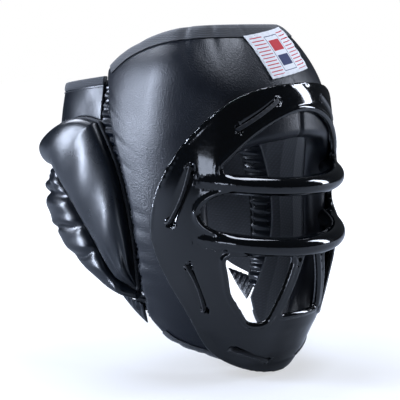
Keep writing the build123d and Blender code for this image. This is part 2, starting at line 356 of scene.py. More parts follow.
def mould(name: str, nu: int, nv: int, place: Place, closed: bool = True,
          fill: bool = False) -> bpy.types.Object:
    """A grid moulded onto a shape.

    Args:
        name: The piece's name.
        nu: Faces along the first direction.
        nv: Faces along the second direction.
        place: Gives the point, in millimetres, for each pair of shares from 0 to 1.
        closed: Whether edges that meet are joined and the faces turned outwards.
        fill: Whether open ends are filled.

    Returns:
        The new object.
    """
    deselect()
    bpy.ops.mesh.primitive_grid_add(x_subdivisions=nu, y_subdivisions=nv, size=2)
    obj = bpy.context.object
    obj.name = obj.data.name = name
    flat = coords(obj)
    move_to(obj, place((flat[:, 0] + 1) / 2, (flat[:, 1] + 1) / 2) * MM)
    if closed:
        close_seams(obj, fill)
    bpy.ops.object.shade_smooth()
    return obj


def apply_modifier(obj: bpy.types.Object, kind: str, **settings: object) -> None:
    """Adds a modifier with these settings and applies it."""
    activate(obj)
    modifier = obj.modifiers.new(kind.title(), kind)
    for key, value in settings.items():
        setattr(modifier, key, value)
    bpy.ops.object.modifier_apply(modifier=modifier.name)


def thicken(obj: bpy.types.Object, mm: float) -> None:
    """Gives a sheet its thickness, outwards from its surface."""
    apply_modifier(obj, "SOLIDIFY", thickness=mm * MM, offset=1.0, use_even_offset=True)
    bpy.ops.object.shade_smooth_by_angle(angle=math.radians(50))


def face_out(obj: bpy.types.Object, centre: tuple[float, float, float]) -> None:
    """Turns a sheet's faces away from a point, in millimetres."""
    mesh = obj.data
    middle = np.empty(len(mesh.polygons) * 3)
    mesh.polygons.foreach_get("center", middle)
    normal = np.empty(len(mesh.polygons) * 3)
    mesh.polygons.foreach_get("normal", normal)
    away = middle.reshape(-1, 3) - np.asarray(centre) * MM
    if (away * normal.reshape(-1, 3)).sum() < 0:
        in_edit(obj, bpy.ops.mesh.flip_normals)


def finish(obj: bpy.types.Object, material: bpy.types.Material, body: Body | None,
           replaces: Sequence[str] = ()) -> bpy.types.Object:
    """Dresses a piece and ties it to the frame.

    Args:
        obj: The piece.
        material: Its finish.
        body: The body that it rides on, or None if it spans two and is tied to neither.
        replaces: The CAD nodes that it stands for.

    Returns:
        The piece.
    """
    obj.data.materials.clear()
    obj.data.materials.append(material)
    if body is not None:
        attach(obj, body.value)
    if replaces:
        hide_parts(*replaces)
    LOG.info("%s: %d faces", obj.name, len(obj.data.polygons))
    return obj


def frames_along(path: Array, up: Array) -> tuple[Array, Array]:
    """Side and up directions at each point of a path.

    Args:
        path: Points, one row each.
        up: A rough up direction at each point.

    Returns:
        The side directions and the true up directions.
    """
    ahead = unit(np.gradient(path, axis=0))
    across = unit(np.cross(ahead, up), 1e-12)
    return across, np.cross(across, ahead)


def ribbon(name: str, path: Array, up: Array, half_width: float, half_height: float,
           power: float = 3.0, ring: int = 12) -> bpy.types.Object:
    """A cord, piping or strip swept along a path.

    Args:
        name: The piece's name.
        path: Points along its middle, in millimetres.
        up: The outward direction at each point.
        half_width: Half its width.
        half_height: Half its height.
        power: 2 for a round section, more for a flatter one.
        ring: Faces round its section.

    Returns:
        The new object.
    """
    across, upward = frames_along(path, up)
    n = len(path) - 1

    def place(u: Array, v: Array) -> Array:
        """The ribbon's surface."""
        i = np.rint(u * n).astype(int)
        angle = 2 * np.pi * v
        c, s = np.cos(angle), np.sin(angle)
        x = half_width * squared(c, 2 / power)
        y = half_height * squared(s, 2 / power)
        return path[i] + across[i] * x[:, None] + upward[i] * y[:, None]

    return mould(name, n, ring, place, fill=True)


def stitch_row(name: str, path: Array, up: Array, pitch: float = 4.2, length: float = 3.0,
               radius: float = 0.42) -> bpy.types.Object:
    """A row of thread stitches along a path, as one piece.

    Args:
        name: The piece's name.
        path: Points along the row, in millimetres.
        up: The outward direction at each point.
        pitch: From one stitch to the next.
        length: Length of the thread that shows in each stitch.
        radius: Radius of the thread.

    Returns:
        The new object.
    """
    run = run_lengths(path)
    centres = np.arange(pitch / 2, run[-1] - pitch / 2, pitch)
    deselect()
    bpy.ops.mesh.primitive_uv_sphere_add(segments=6, ring_count=5, radius=1)
    one = bpy.context.object
    unit = coords(one)
    faces = [list(p.vertices) for p in one.data.polygons]
    bpy.data.objects.remove(one, do_unlink=True)
    across, upward = frames_along(path, up)
    ahead = np.cross(upward, across)
    vertices, polygons = [], []
    for at in centres:
        basis = [np.array([np.interp(at, run, grid[:, k]) for k in range(3)])
                 for grid in (path, ahead, across, upward)]
        middle, a, b, c = basis
        shape = (unit[:, 2:3] * a * length / 2 + unit[:, 0:1] * b * radius
                 + unit[:, 1:2] * c * radius * 0.8)
        base = len(vertices) * len(unit)
        vertices.append(middle + shape)
        polygons += [[base + i for i in face] for face in faces]
    mesh = bpy.data.meshes.new(name)
    mesh.from_pydata((np.concatenate(vertices) * MM).tolist(), [], polygons)
    obj = bpy.data.objects.new(name, mesh)
    bpy.context.collection.objects.link(obj)
    in_edit(obj, lambda: bpy.ops.mesh.normals_make_consistent(inside=False))
    bpy.ops.object.shade_smooth()
    return obj


# ---------------------------------------------------------------- finishes


def linear(code: str) -> tuple[float, float, float, float]:
    """An sRGB hex colour as a linear colour with full alpha."""
    parts = [int(code[i : i + 2], 16) / 255 for i in (1, 3, 5)]
    rgb = [c / 12.92 if c <= 0.04045 else ((c + 0.055) / 1.055) ** 2.4 for c in parts]
    return rgb[0], rgb[1], rgb[2], 1.0


def add_node(tree: bpy.types.NodeTree, kind: str, inputs: dict | None = None,
             **settings: object) -> bpy.types.Node:
    """Adds a node.

    Args:
        tree: Where it goes.
        kind: The node's type name.
        inputs: A value, or a socket to link from, for each named or numbered input.
        settings: The node's own settings.

    Returns:
        The node.
    """
    node = tree.nodes.new(kind)
    for key, value in settings.items():
        setattr(node, key, value)
    for key, value in (inputs or {}).items():
        if isinstance(value, bpy.types.NodeSocket):
            tree.links.new(value, node.inputs[key])
        else:
            node.inputs[key].default_value = value
    return node


def add_bump(tree: bpy.types.NodeTree, shader: bpy.types.Node, height: bpy.types.NodeSocket,
             strength: float, depth_mm: float,
             under: bpy.types.Node | None = None) -> bpy.types.Node:
    """Gives a shader its relief.

    Args:
        tree: Where the node goes.
        shader: The shader that shows the relief.
        height: The pattern.
        strength: Share of the full depth.
        depth_mm: The full depth.
        under: A finer bump that this one is laid over.

    Returns:
        The bump node.
    """
    bump = add_node(tree, "ShaderNodeBump",
                    {"Height": height, "Strength": strength, "Distance": depth_mm * MM})
    if under:
        tree.links.new(under.outputs["Normal"], bump.inputs["Normal"])
    tree.links.new(bump.outputs["Normal"], shader.inputs["Normal"])
    return bump


@dataclass(frozen=True)
class Finish:
    """What every finish has: its name, colour and gloss."""

    name: str
    colour: str
    roughness: float

    def start(self) -> tuple[bpy.types.Material, bpy.types.NodeTree, bpy.types.Node]:
        """A new material with its node tree and its shader."""
        material = bpy.data.materials.new(self.name)
        material.use_nodes = True
        tree = material.node_tree
        shader = tree.nodes["Principled BSDF"]
        shader.inputs["Base Color"].default_value = linear(self.colour)
        shader.inputs["Roughness"].default_value = self.roughness
        material.diffuse_color = linear(self.colour)
        return material, tree, shader


@dataclass(frozen=True)
class Vinyl(Finish):
    """PVC-coated cloth, embossed with a leather grain: soft highlights broken up by pebbles."""

    grain_mm: float = 1.3
    grain_depth_mm: float = 0.10
    worn: str = "#0f1722"
    wrinkle_depth_mm: float = 0.12

    def build(self) -> bpy.types.Material:
        """The material."""
        material, tree, shader = self.start()
        at = add_node(tree, "ShaderNodeTexCoord").outputs["Object"]
        grain = add_node(tree, "ShaderNodeTexVoronoi",
                         {"Vector": at, "Scale": 1 / (self.grain_mm * MM), "Randomness": 1.0},
                         feature="SMOOTH_F1")
        fine = add_node(tree, "ShaderNodeTexNoise",
                        {"Vector": at, "Scale": 2.4 / (self.grain_mm * MM), "Detail": 3.0})
        soft = add_node(tree, "ShaderNodeTexNoise", {"Vector": at, "Scale": 55.0, "Detail": 4.0})
        wide = add_node(tree, "ShaderNodeTexNoise", {"Vector": at, "Scale": 14.0, "Detail": 3.0})
        height = add_node(tree, "ShaderNodeMath",
                          {0: fine.outputs["Fac"], 1: 0.5, 2: grain.outputs["Distance"]},
                          operation="MULTIPLY_ADD")
        pebbles = add_bump(tree, shader, height.outputs[0], 0.8, self.grain_depth_mm)
        add_bump(tree, shader, soft.outputs["Fac"], 0.5, self.wrinkle_depth_mm * 4, pebbles)
        tone = add_node(tree, "ShaderNodeValToRGB", {"Fac": wide.outputs["Fac"]})
        tone.color_ramp.elements[0].position = 0.35
        tone.color_ramp.elements[0].color = linear(self.colour)
        tone.color_ramp.elements[1].position = 0.75
        tone.color_ramp.elements[1].color = linear(self.worn)
        tree.links.new(tone.outputs["Color"], shader.inputs["Base Color"])
        gloss = add_node(tree, "ShaderNodeMapRange",
                         {"Value": soft.outputs["Fac"], "To Min": self.roughness - 0.06,
                          "To Max": self.roughness + 0.08})
        tree.links.new(gloss.outputs[0], shader.inputs["Roughness"])
        shader.inputs["IOR"].default_value = 1.52
        return material


@dataclass(frozen=True)
class MouldedPlastic(Finish):
    """Injection-moulded, polished polycarbonate blend: a deep black with mirror highlights."""

    def build(self) -> bpy.types.Material:
        """The material."""
        material, tree, shader = self.start()
        at = add_node(tree, "ShaderNodeTexCoord").outputs["Object"]
        # Slow ripples from the moulding, about 12 mm across, bend the long reflections.
        ripple = add_node(tree, "ShaderNodeTexNoise", {"Vector": at, "Scale": 80.0, "Detail": 1.0})
        # Handling scuffs are hair fine, so they are drawn about 2 mm long.
        scuff = add_node(tree, "ShaderNodeTexNoise",
                         {"Vector": at, "Scale": 320.0, "Detail": 5.0, "Roughness": 0.7})
        add_bump(tree, shader, ripple.outputs["Fac"], 0.25, 0.12)
        gloss = add_node(tree, "ShaderNodeMapRange",
                         {"Value": scuff.outputs["Fac"], "From Min": 0.45, "From Max": 0.8,
                          "To Min": self.roughness, "To Max": self.roughness + 0.10})
        tree.links.new(gloss.outputs[0], shader.inputs["Roughness"])
        shader.inputs["IOR"].default_value = 1.56
        shader.inputs["Coat Weight"].default_value = 0.35
        shader.inputs["Coat Roughness"].default_value = 0.03
        return material


@dataclass(frozen=True)
class Woven(Finish):
    """Woven or knitted textile: rows of thread that catch a soft sheen."""

    thread_mm: float = 1.0
    depth_mm: float = 0.15
    light: str = "#1b1f26"
    sheen: float = 0.25

    def build(self) -> bpy.types.Material:
        """The material."""
        material, tree, shader = self.start()
        at = add_node(tree, "ShaderNodeTexCoord").outputs["Object"]
        # A wave texture at scale s has a period of pi / 10 / s metres.
        scale = math.pi / 10 / (self.thread_mm * MM) * 0.5
        rows = [add_node(tree, "ShaderNodeTexWave",
                         {"Vector": at, "Scale": scale, "Distortion": 1.2, "Detail": 1.0},
                         bands_direction=axis) for axis in ("Z", "DIAGONAL")]
        weave = add_node(tree, "ShaderNodeMath",
                         {0: rows[0].outputs["Fac"], 1: rows[1].outputs["Fac"]},
                         operation="MULTIPLY")
        fuzz = add_node(tree, "ShaderNodeTexNoise", {"Vector": at, "Scale": 900.0, "Detail": 3.0})
        height = add_node(tree, "ShaderNodeMath",
                          {0: fuzz.outputs["Fac"], 1: 0.4, 2: weave.outputs[0]},
                          operation="MULTIPLY_ADD")
        add_bump(tree, shader, height.outputs[0], 0.7, self.depth_mm)
        tone = add_node(tree, "ShaderNodeMix",
                        {"Factor": height.outputs[0]}, data_type="RGBA")
        colour = [s for s in tone.inputs if s.type == "RGBA"]
        colour[0].default_value = linear(self.colour)
        colour[1].default_value = linear(self.light)
        out = [s for s in tone.outputs if s.type == "RGBA"][0]
        tree.links.new(out, shader.inputs["Base Color"])
        shader.inputs["Sheen Weight"].default_value = self.sheen
        shader.inputs["Sheen Roughness"].default_value = 0.5
        return material


@dataclass(frozen=True)
class LabelWeave(Finish):
    """A woven patch: white ground, red pinstripes, and a red bar over a navy bar in a frame."""

    red: str = "#c8202c"
    navy: str = "#1d2b5c"
    width_mm: float = 52.0
    height_mm: float = 34.0

    def build(self) -> bpy.types.Material:
        """The material."""
        material, tree, shader = self.start()
        uv = add_node(tree, "ShaderNodeUVMap", uv_map="UVMap").outputs["UV"]
        split = add_node(tree, "ShaderNodeSeparateXYZ", {0: uv})
        x, y = split.outputs[0], split.outputs[1]

        def math_node(operation: str, a: object, b: object) -> bpy.types.NodeSocket:
            """One sum on two inputs."""
            return add_node(tree, "ShaderNodeMath", {0: a, 1: b}, operation=operation).outputs[0]

        def inside(value: bpy.types.NodeSocket, low: float, high: float) -> bpy.types.NodeSocket:
            """1 where the value lies between low and high."""
            return math_node("MULTIPLY", math_node("GREATER_THAN", value, low),
                             math_node("LESS_THAN", value, high))

        def box(x0: float, x1: float, y0: float, y1: float) -> bpy.types.NodeSocket:
            """1 inside a rectangle of the patch."""
            return math_node("MULTIPLY", inside(x, x0, x1), inside(y, y0, y1))

        stripes = math_node("GREATER_THAN",
                            math_node("FRACT", math_node("MULTIPLY", y, 13.0), 0.0), 0.72)
        sides = math_node("MAXIMUM", box(0.05, 0.30, 0.06, 0.94), box(0.70, 0.95, 0.06, 0.94))
        red_bar = box(0.37, 0.63, 0.56, 0.80)
        navy_bar = box(0.37, 0.63, 0.22, 0.46)
        outer = box(0.335, 0.665, 0.10, 0.90)
        inner = box(0.345, 0.655, 0.115, 0.885)
        frame_line = math_node("SUBTRACT", outer, inner)
        masks = [(math_node("MULTIPLY", stripes, sides), self.red), (red_bar, self.red),
                 (navy_bar, self.navy), (frame_line, self.navy)]
        colour: object = linear(self.colour)
        for mask, code in masks:
            mix = add_node(tree, "ShaderNodeMix", {0: mask}, data_type="RGBA")
            sockets = [s for s in mix.inputs if s.type == "RGBA"]
            if isinstance(colour, bpy.types.NodeSocket):
                tree.links.new(colour, sockets[0])
            else:
                sockets[0].default_value = colour
            sockets[1].default_value = linear(code)
            colour = [s for s in mix.outputs if s.type == "RGBA"][0]
        tree.links.new(colour, shader.inputs["Base Color"])
        # Threads are 0.35 mm on a real label and are drawn 0.7 mm so that they show.
        weave = [add_node(tree, "ShaderNodeTexWave",
                          {"Vector": uv, "Scale": size / 0.7 / 3.2, "Distortion": 0.3},
                          bands_direction=axis).outputs["Fac"]
                 for axis, size in (("X", self.width_mm), ("Y", self.height_mm))]
        add_bump(tree, shader, math_node("MULTIPLY", weave[0], weave[1]), 0.5, 0.12)
        shader.inputs["Sheen Weight"].default_value = 0.2
        return material


class Wardrobe:
    """Every finish, built once."""

    def __init__(self) -> None:
        """Builds the materials."""
        self.grained = Vinyl("grained_black_vinyl", "#040914", 0.36, grain_mm=1.1,
                             grain_depth_mm=0.20, worn="#0e141c",
                             wrinkle_depth_mm=0.07).build()
        self.smooth = Vinyl("smooth_black_vinyl", "#050a12", 0.28, grain_mm=0.9,
                            grain_depth_mm=0.03, worn="#0e141b").build()
        self.cage = MouldedPlastic("polished_black_polycarbonate", "#030508", 0.07).build()
        self.lining = Woven("brushed_lining_cloth", "#07090d", 0.85, thread_mm=1.2).build()
        self.tape = Woven("black_binding_tape", "#0a0c10", 0.7, thread_mm=0.9,
                          light="#20252d").build()
        self.cord = Woven("black_braided_cord", "#08090c", 0.6, thread_mm=1.3,
                          light="#1c2027").build()
        self.webbing = Woven("black_nylon_webbing", "#090b0f", 0.55, thread_mm=1.6,
                             depth_mm=0.3, light="#1e232b").build()
        self.nap = Woven("hook_and_loop_nap", "#0b0d11", 0.9, thread_mm=1.1, depth_mm=0.5,
                         light="#262b33", sheen=0.6).build()
        self.thread = Woven("bonded_nylon_thread", "#0f1318", 0.45, thread_mm=0.6,
                            light="#39404a").build()
        self.label = LabelWeave("woven_label", "#f2f3f5", 0.75).build()


# ---------------------------------------------------------------- the padded shell


@dataclass
class Shell:
    """The padded shell: cover, lining, edge tapes, stitches and label."""

    thick: float = 20.5
    rings: int = 420
    loops: int = 150
    corner_w: float = 0.36  # where the rim meets the rear edge, as a share of the half ring
    jaw_w: float = 0.80  # where the rear edge meets the hem
    sample: int = 241

    def __post_init__(self) -> None:
        """Works out the two edges of the shell, as angle and height, and the width between."""
        self.grid = w = np.linspace(0, 1, self.sample)
        keys = [0, self.corner_w, 0.58, self.jaw_w, 1]
        index = np.interp(w, keys, [0, 2.0, 3.0, 4.6, 6])
        inner = natural_spline(range(len(FACE_OPENING)), FACE_OPENING)(index)
        self.inner = np.stack([HEAD.phi_front(inner[:, 0], inner[:, 1]), inner[:, 1]], 1)
        outer = np.zeros((self.sample, 2))
        rear = smooth_line(REAR_EDGE, 200)
        side = (w >= self.corner_w) & (w <= self.jaw_w)
        yz = along(rear, (w[side] - self.corner_w) / (self.jaw_w - self.corner_w))
        outer[side, 0] = HEAD.phi_side(yz[:, 0], yz[:, 1])
        outer[side, 1] = yz[:, 1]
        for edge, keep, phi_end in ((RIM, w < self.corner_w, outer[side][0, 0]),
                                    (HEM, w > self.jaw_w, outer[side][-1, 0])):
            line = smooth_line(edge, 200)
            line = line[np.argsort(line[:, 0])]
            span = self.corner_w if edge is RIM else 1 - self.jaw_w
            start = 0.0 if edge is RIM else 1.0
            phi = np.abs(w[keep] - start) / span * phi_end
            z = np.full(phi.shape, float(np.mean([p[1] for p in edge])))
            for _ in range(40):
                y = HEAD.point(phi, z, np.zeros_like(phi))[:, 1]
                z = 0.5 * z + 0.5 * np.interp(y, line[:, 0], line[:, 1])
            outer[keep, 0] = phi
            outer[keep, 1] = z
        self.outer = outer
        share = np.linspace(0, 1, 17)
        mid = [HEAD.point(*(self.inner * (1 - f) + outer * f).T, np.zeros(self.sample))
               for f in share]
        self.length = sum(np.linalg.norm(b - a, axis=1) for a, b in zip(mid, mid[1:]))
        rng = np.random.RandomState(7)
        self.rim_puckers = [(rng.uniform(0.02, 0.34), rng.choice([-1, 1]), rng.uniform(0.5, 1.6))
                            for _ in range(16)]
        self.rim_puckers += [(0.15, -1, 2.2), (0.21, -1, 1.9), (0.11, -1, 1.2)]
        self.rear_puckers = [(rng.uniform(0.38, 0.98), rng.choice([-1, 1]), rng.uniform(0.5, 1.3))
                             for _ in range(34)]
        self.rear_puckers += [(0.72, -1, 2.0), (0.76, -1, 1.6), (0.80, -1, 2.2), (0.84, -1, 1.6)]

    def columns(self, u: Array) -> tuple[Array, Array, Array]:
        """For shares round the ring: the half-ring share, the side's sign and the width there."""
        u = np.mod(u, 1.0)
        w = np.where(u <= 0.5, 2 * u, 2 - 2 * u)
        sign = np.where(u <= 0.5, 1.0, -1.0)
        return w, sign, np.interp(w, self.grid, self.length)

    def surface(self, w: Array, sign: Array, s: Array, grow: Array) -> Array:
        """A point at a share s between the opening's edge and the outer edge."""
        a, b = (np.stack([np.interp(w, self.grid, edge[:, k]) for k in (0, 1)], 1)
                for edge in (self.inner, self.outer))
        mid = a * (1 - s[:, None]) + b * s[:, None]
        p = HEAD.point(mid[:, 0], mid[:, 1], grow)
        p[:, 0] *= sign
        return p

    def roll(self, w: Array) -> Array:
        """The radius of the outer edge's roll."""
        rim = smoothstep(w, self.corner_w - 0.05, self.corner_w + 0.03)
        return 5.5 + 4.5 * rim - 1.5 * smoothstep(w, self.jaw_w, self.jaw_w + 0.08)

    def profile(self, w: Array, length: Array, v: Array, extra: float) -> tuple[Array, Array]:
        """The closed section of the pad.

        Args:
            w: Share of the half ring.
            length: Width of the pad there.
            v: Share round the section, from the opening's edge over the outside and back.
            extra: How much larger than the pad the section is.

        Returns:
            Distance from the opening's edge, and depth under the form.
        """
        t = self.thick
        ro = np.minimum(self.roll(w), t / 2 - 0.01)
        ri = 9.0
        keys = [0, 0.36, 0.44, 0.47, 0.55, 0.86, 0.92, 0.94, 1.0]
        part = np.clip(np.searchsorted(keys, v, side="right") - 1, 0, 7)
        low = np.take(keys, part)
        high = np.take(keys, part + 1)
        f = (v - low) / (high - low)
        q = f * np.pi / 2
        x0, x1 = -extra, length + extra
        g0, g1 = extra, -t - extra
        ro, ri = ro + extra, ri + extra
        s = np.select(
            [part == k for k in range(8)],
            [x0 + ri + (x1 - ro - x0 - ri) * f, x1 - ro + ro * np.sin(q), x1 + 0 * f,
             x1 - ro + ro * np.cos(q), x1 - ro + (x0 + ri - x1 + ro) * f,
             x0 + ri - ri * np.sin(q), x0 + 0 * f, x0 + ri - ri * np.cos(q)])
        g = np.select(
            [part == k for k in range(8)],
            [g0 + 0 * f, g0 - ro + ro * np.cos(q), g0 - ro + (g1 + ro - g0 + ro) * f,
             g1 + ro - ro * np.sin(q), g1 + 0 * f, g1 + ri - ri * np.cos(q),
             g1 + ri + (g0 - ri - g1 - ri) * f, g0 - ri + ri * np.sin(q)])
        return s, g

    def relief(self, w: Array, sign: Array, s: Array, length: Array) -> Array:
        """How far the cover stands out from the plain form: puckers, seam and soft swell."""
        from_edge = length - s
        depth = np.zeros_like(s)
        inward = np.maximum(from_edge, 0)
        for at, side, size in self.rim_puckers:
            here = bell(w, at + 0.0006 * (from_edge - 6) * (0.5 if size > 1 else -0.4), 0.009)
            depth -= np.where(sign == side, 1, 0) * 1.5 * size * here * np.exp(-inward / 12)
        for at, side, size in self.rear_puckers:
            here = bell(w, at + 0.0004 * (from_edge - 6), 0.007)
            depth -= np.where(sign == side, 1, 0) * 1.5 * size * here * np.exp(-inward / 11)
        swell = np.clip(from_edge / 24, 0, 1) * np.clip(s / 20, 0, 1)
        depth += 0.9 * swell * np.sin(w * 31 + sign) * np.sin(s * 0.09) * 0.35
        depth -= 1.8 * bell(w * 230, 0, 1.6) * smoothstep(-s, -46, -28) * smoothstep(-w, -0.5, -0.3)
        depth -= 1.2 * bell(w * 230, 0, 1.2) * smoothstep(w, 0.9, 1.0)
        return depth

    def pad_point(self, u: Array, v: Array, extra: float = 0.0) -> Array:
        """A point on the finished pad's surface."""
        w, sign, length = self.columns(u)
        s, g = self.profile(w, length, v, extra)
        crown = 1 - smoothstep(w, self.corner_w - 0.04, self.corner_w + 0.05)
        s = s + 0.45 * crown * np.minimum(g + 1.5, 0) * smoothstep(s / length, 0.25, 0.9)
        outside = smoothstep(g, -14, -4)
        g = g + self.relief(w, sign, s, length) * outside
        return self.surface(w, sign, s / length, g)

    def edge_path(self, w0: float, w1: float, side: Side, count: int,
                  place: float, grow: float) -> tuple[Array, Array]:
        """A line along the outer edge.

        Args:
            w0: Share of the half ring where it starts.
            w1: Share where it ends.
            side: Which side.
            count: How many points.
            place: Distance in from the edge.
            grow: Height over the cover.

        Returns:
            The points and the outward directions.
        """
        w = np.linspace(w0, w1, count)
        sign = np.full(count, float(side.value))
        length = np.interp(w, self.grid, self.length)
        s = length - place
        ro = self.roll(w)
        dip = np.where(place < ro, ro - np.sqrt(np.maximum(ro**2 - (ro - place) ** 2, 0)), 0)
        g = grow - dip + self.relief(w, sign, s, length)
        p = self.surface(w, sign, s / length, g)
        q = self.surface(w, sign, (s - dip * 0.9) / length, g - 2)
        return p, unit(p - q)

    def build_cover(self, wear: Wardrobe) -> None:
        """The vinyl cover, wrapped over the foam and rolled round every edge."""
        cover = mould("shell_cover", self.rings, self.loops, self.pad_point)
        finish(cover, wear.grained, Body.SHELL,
               ["cover_left", "cover_right", "forehead_foam", "chin_foam",
                "side_foam_left", "side_foam_right"])

    def build_lining(self, wear: Wardrobe) -> None:
        """The padded cloth lining on the inside of the shell."""

        def place(u: Array, v: Array) -> Array:
            """The lining's surface, with quilted rows."""
            w, sign, length = self.columns(u)
            s = 7 + v * (length - 14)
            puff = 0.9 * np.abs(np.sin(np.pi * (s - 7) / 24.0)) ** 0.5
            edge = smoothstep(np.minimum(s - 7, length - 7 - s), 0, 3)
            g = -self.thick - 0.2 - (0.4 + puff) * edge
            return self.surface(w, sign, s / length, g)

        lining = mould("shell_lining", 300, 60, place, closed=False)
        in_edit(lining, lambda: bpy.ops.mesh.remove_doubles(threshold=2e-6))
        finish(lining, wear.lining, Body.SHELL, ["lining_left", "lining_right"])
        face_out(lining, (0, 0, 0))
        in_edit(lining, bpy.ops.mesh.flip_normals)
        apply_modifier(lining, "SOLIDIFY", thickness=0.6 * MM, offset=-1.0)

    def build_tape(self, wear: Wardrobe, name: str, w0: float, w1: float,
                   nodes: Sequence[str]) -> None:
        """A binding tape folded over the outer edge, through the middle of the object."""

        def place(u: Array, v: Array) -> Array:
            """The tape's outer face."""
            w_signed = w0 + (w1 - w0) * u
            ring = np.where(w_signed >= 0, w_signed / 2, 1 + w_signed / 2)
            section = 0.335 + v * 0.24
            return self.pad_point(ring, section, 0.5)

        tape = mould(name, 200, 24, place, closed=False)
        face_out(tape, (0, 0, 20))
        thicken(tape, 0.5)
        finish(tape, wear.tape, Body.SHELL, nodes)

    def build_edges(self, wear: Wardrobe) -> None:
        """The tapes, the piping and the stitches."""
        span = self.corner_w - 0.004
        self.build_tape(wear, "crown_binding_tape", -span, span, ["crown_binding"])
        self.build_tape(wear, "hem_binding_tape", self.jaw_w + 0.015, 2 - self.jaw_w - 0.015,
                        ["hem_binding"])
        for side in Side:
            path, up = self.edge_path(self.corner_w - 0.006, self.jaw_w + 0.012, side, 170,
                                      0.4, 0.9)
            piping = ribbon(f"rear_seam_piping_{side.word}", path, up, 1.35, 1.35, 2.0, 10)
            finish(piping, wear.tape, Body.SHELL, [f"rear_piping_{side.word}"])
            path, up = self.edge_path(self.corner_w + 0.01, self.jaw_w, side, 200, 4.6, 0.25)
            row = stitch_row(f"rear_seam_stitches_{side.word}", path, up)
            finish(row, wear.thread, Body.SHELL)
            path, up = self.edge_path(0.006, span, side, 200, 6.6, 0.3)
            row = stitch_row(f"crown_stitches_{side.word}", path, up, pitch=3.4, length=2.3)
            finish(row, wear.thread, Body.SHELL)

    def build_label(self, wear: Wardrobe) -> None:
        """The woven patch sewn to the forehead, a little askew."""
        tilt = math.radians(8.0)
        half, tall, centre = 26.0, 17.0, 130.0

        def spot(x: Array, z: Array, grow: float) -> Array:
            """A point on the forehead at a place on the patch."""
            xs = x * math.cos(tilt) - z * math.sin(tilt)
            zs = centre + x * math.sin(tilt) + z * math.cos(tilt)
            edge = np.maximum(np.abs(x) / half, np.abs(z) / tall)
            lift = grow + 0.35 * smoothstep(edge, 0.75, 0.98) * np.sin(x * 0.9) * np.cos(z * 0.8)
            phi = HEAD.phi_front(xs, zs)
            return HEAD.point(phi, zs, 0 * xs + lift)

        patch = mould("forehead_patch", 104, 68,
                      lambda u, v: spot((u * 2 - 1) * half, (v * 2 - 1) * tall, 0.55),
                      closed=False)
        face_out(patch, (0, 0, 100))
        thicken(patch, 0.7)
        finish(patch, wear.label, Body.SHELL, ["forehead_label"])
        t = np.linspace(0, 1, 60)
        inset_x, inset_z = half - 1.8, tall - 1.8
        ring = [np.stack([inset_x * (1 - 2 * t), 0 * t + inset_z], 1),
                np.stack([0 * t - inset_x, inset_z * (1 - 2 * t)], 1),
                np.stack([inset_x * (2 * t - 1), 0 * t - inset_z], 1),
                np.stack([0 * t + inset_x, inset_z * (2 * t - 1)], 1)]
        line = np.concatenate(ring)
        path = spot(line[:, 0], line[:, 1], 1.35)
        up = path - spot(line[:, 0], line[:, 1], -3.0)
        row = stitch_row("patch_stitches", path, up, pitch=3.0, length=2.0, radius=0.3)
        finish(row, wear.label, Body.SHELL)

    def build_gusset(self, wear: Wardrobe, side: Side) -> None:
        """The small padded panel behind the rear corner of the jaw."""
        top = np.linspace((19.0, -80.0), (50.0, -73.5), 60)
        low = smooth_line([(23, -98), (37, -87), (50, -73.7)], 60)

        def place(u: Array, v: Array) -> Array:
            """The panel's surface, gathered towards its top."""
            a, b = along(top, u), along(low, u)
            q = 2 * np.pi * v
            t = 0.5 - 0.5 * squared(np.cos(q), 0.9)
            mid = a * (1 - t[:, None]) + b * t[:, None]
            h = squared(np.sin(q), 0.4)
            folds = 0.5 * np.sin(u * 34) * (1 - t)
            p = HEAD.side(mid[:, 0], mid[:, 1], -5.75 + 1.2 * h + folds)
            p[:, 0] *= side.value
            return p

        gusset = mould(f"jaw_gusset_panel_{side.word}", 80, 32, place, fill=True)
        finish(gusset, wear.grained, Body.SHELL, [f"jaw_gusset_{side.word}"])

    def build(self, wear: Wardrobe) -> None:
        """Builds the whole shell."""
        self.build_cover(wear)
        self.build_lining(wear)
        self.build_edges(wear)
        self.build_label(wear)
        for side in Side:
            self.build_gusset(wear, side)


# ---------------------------------------------------------------- the cage


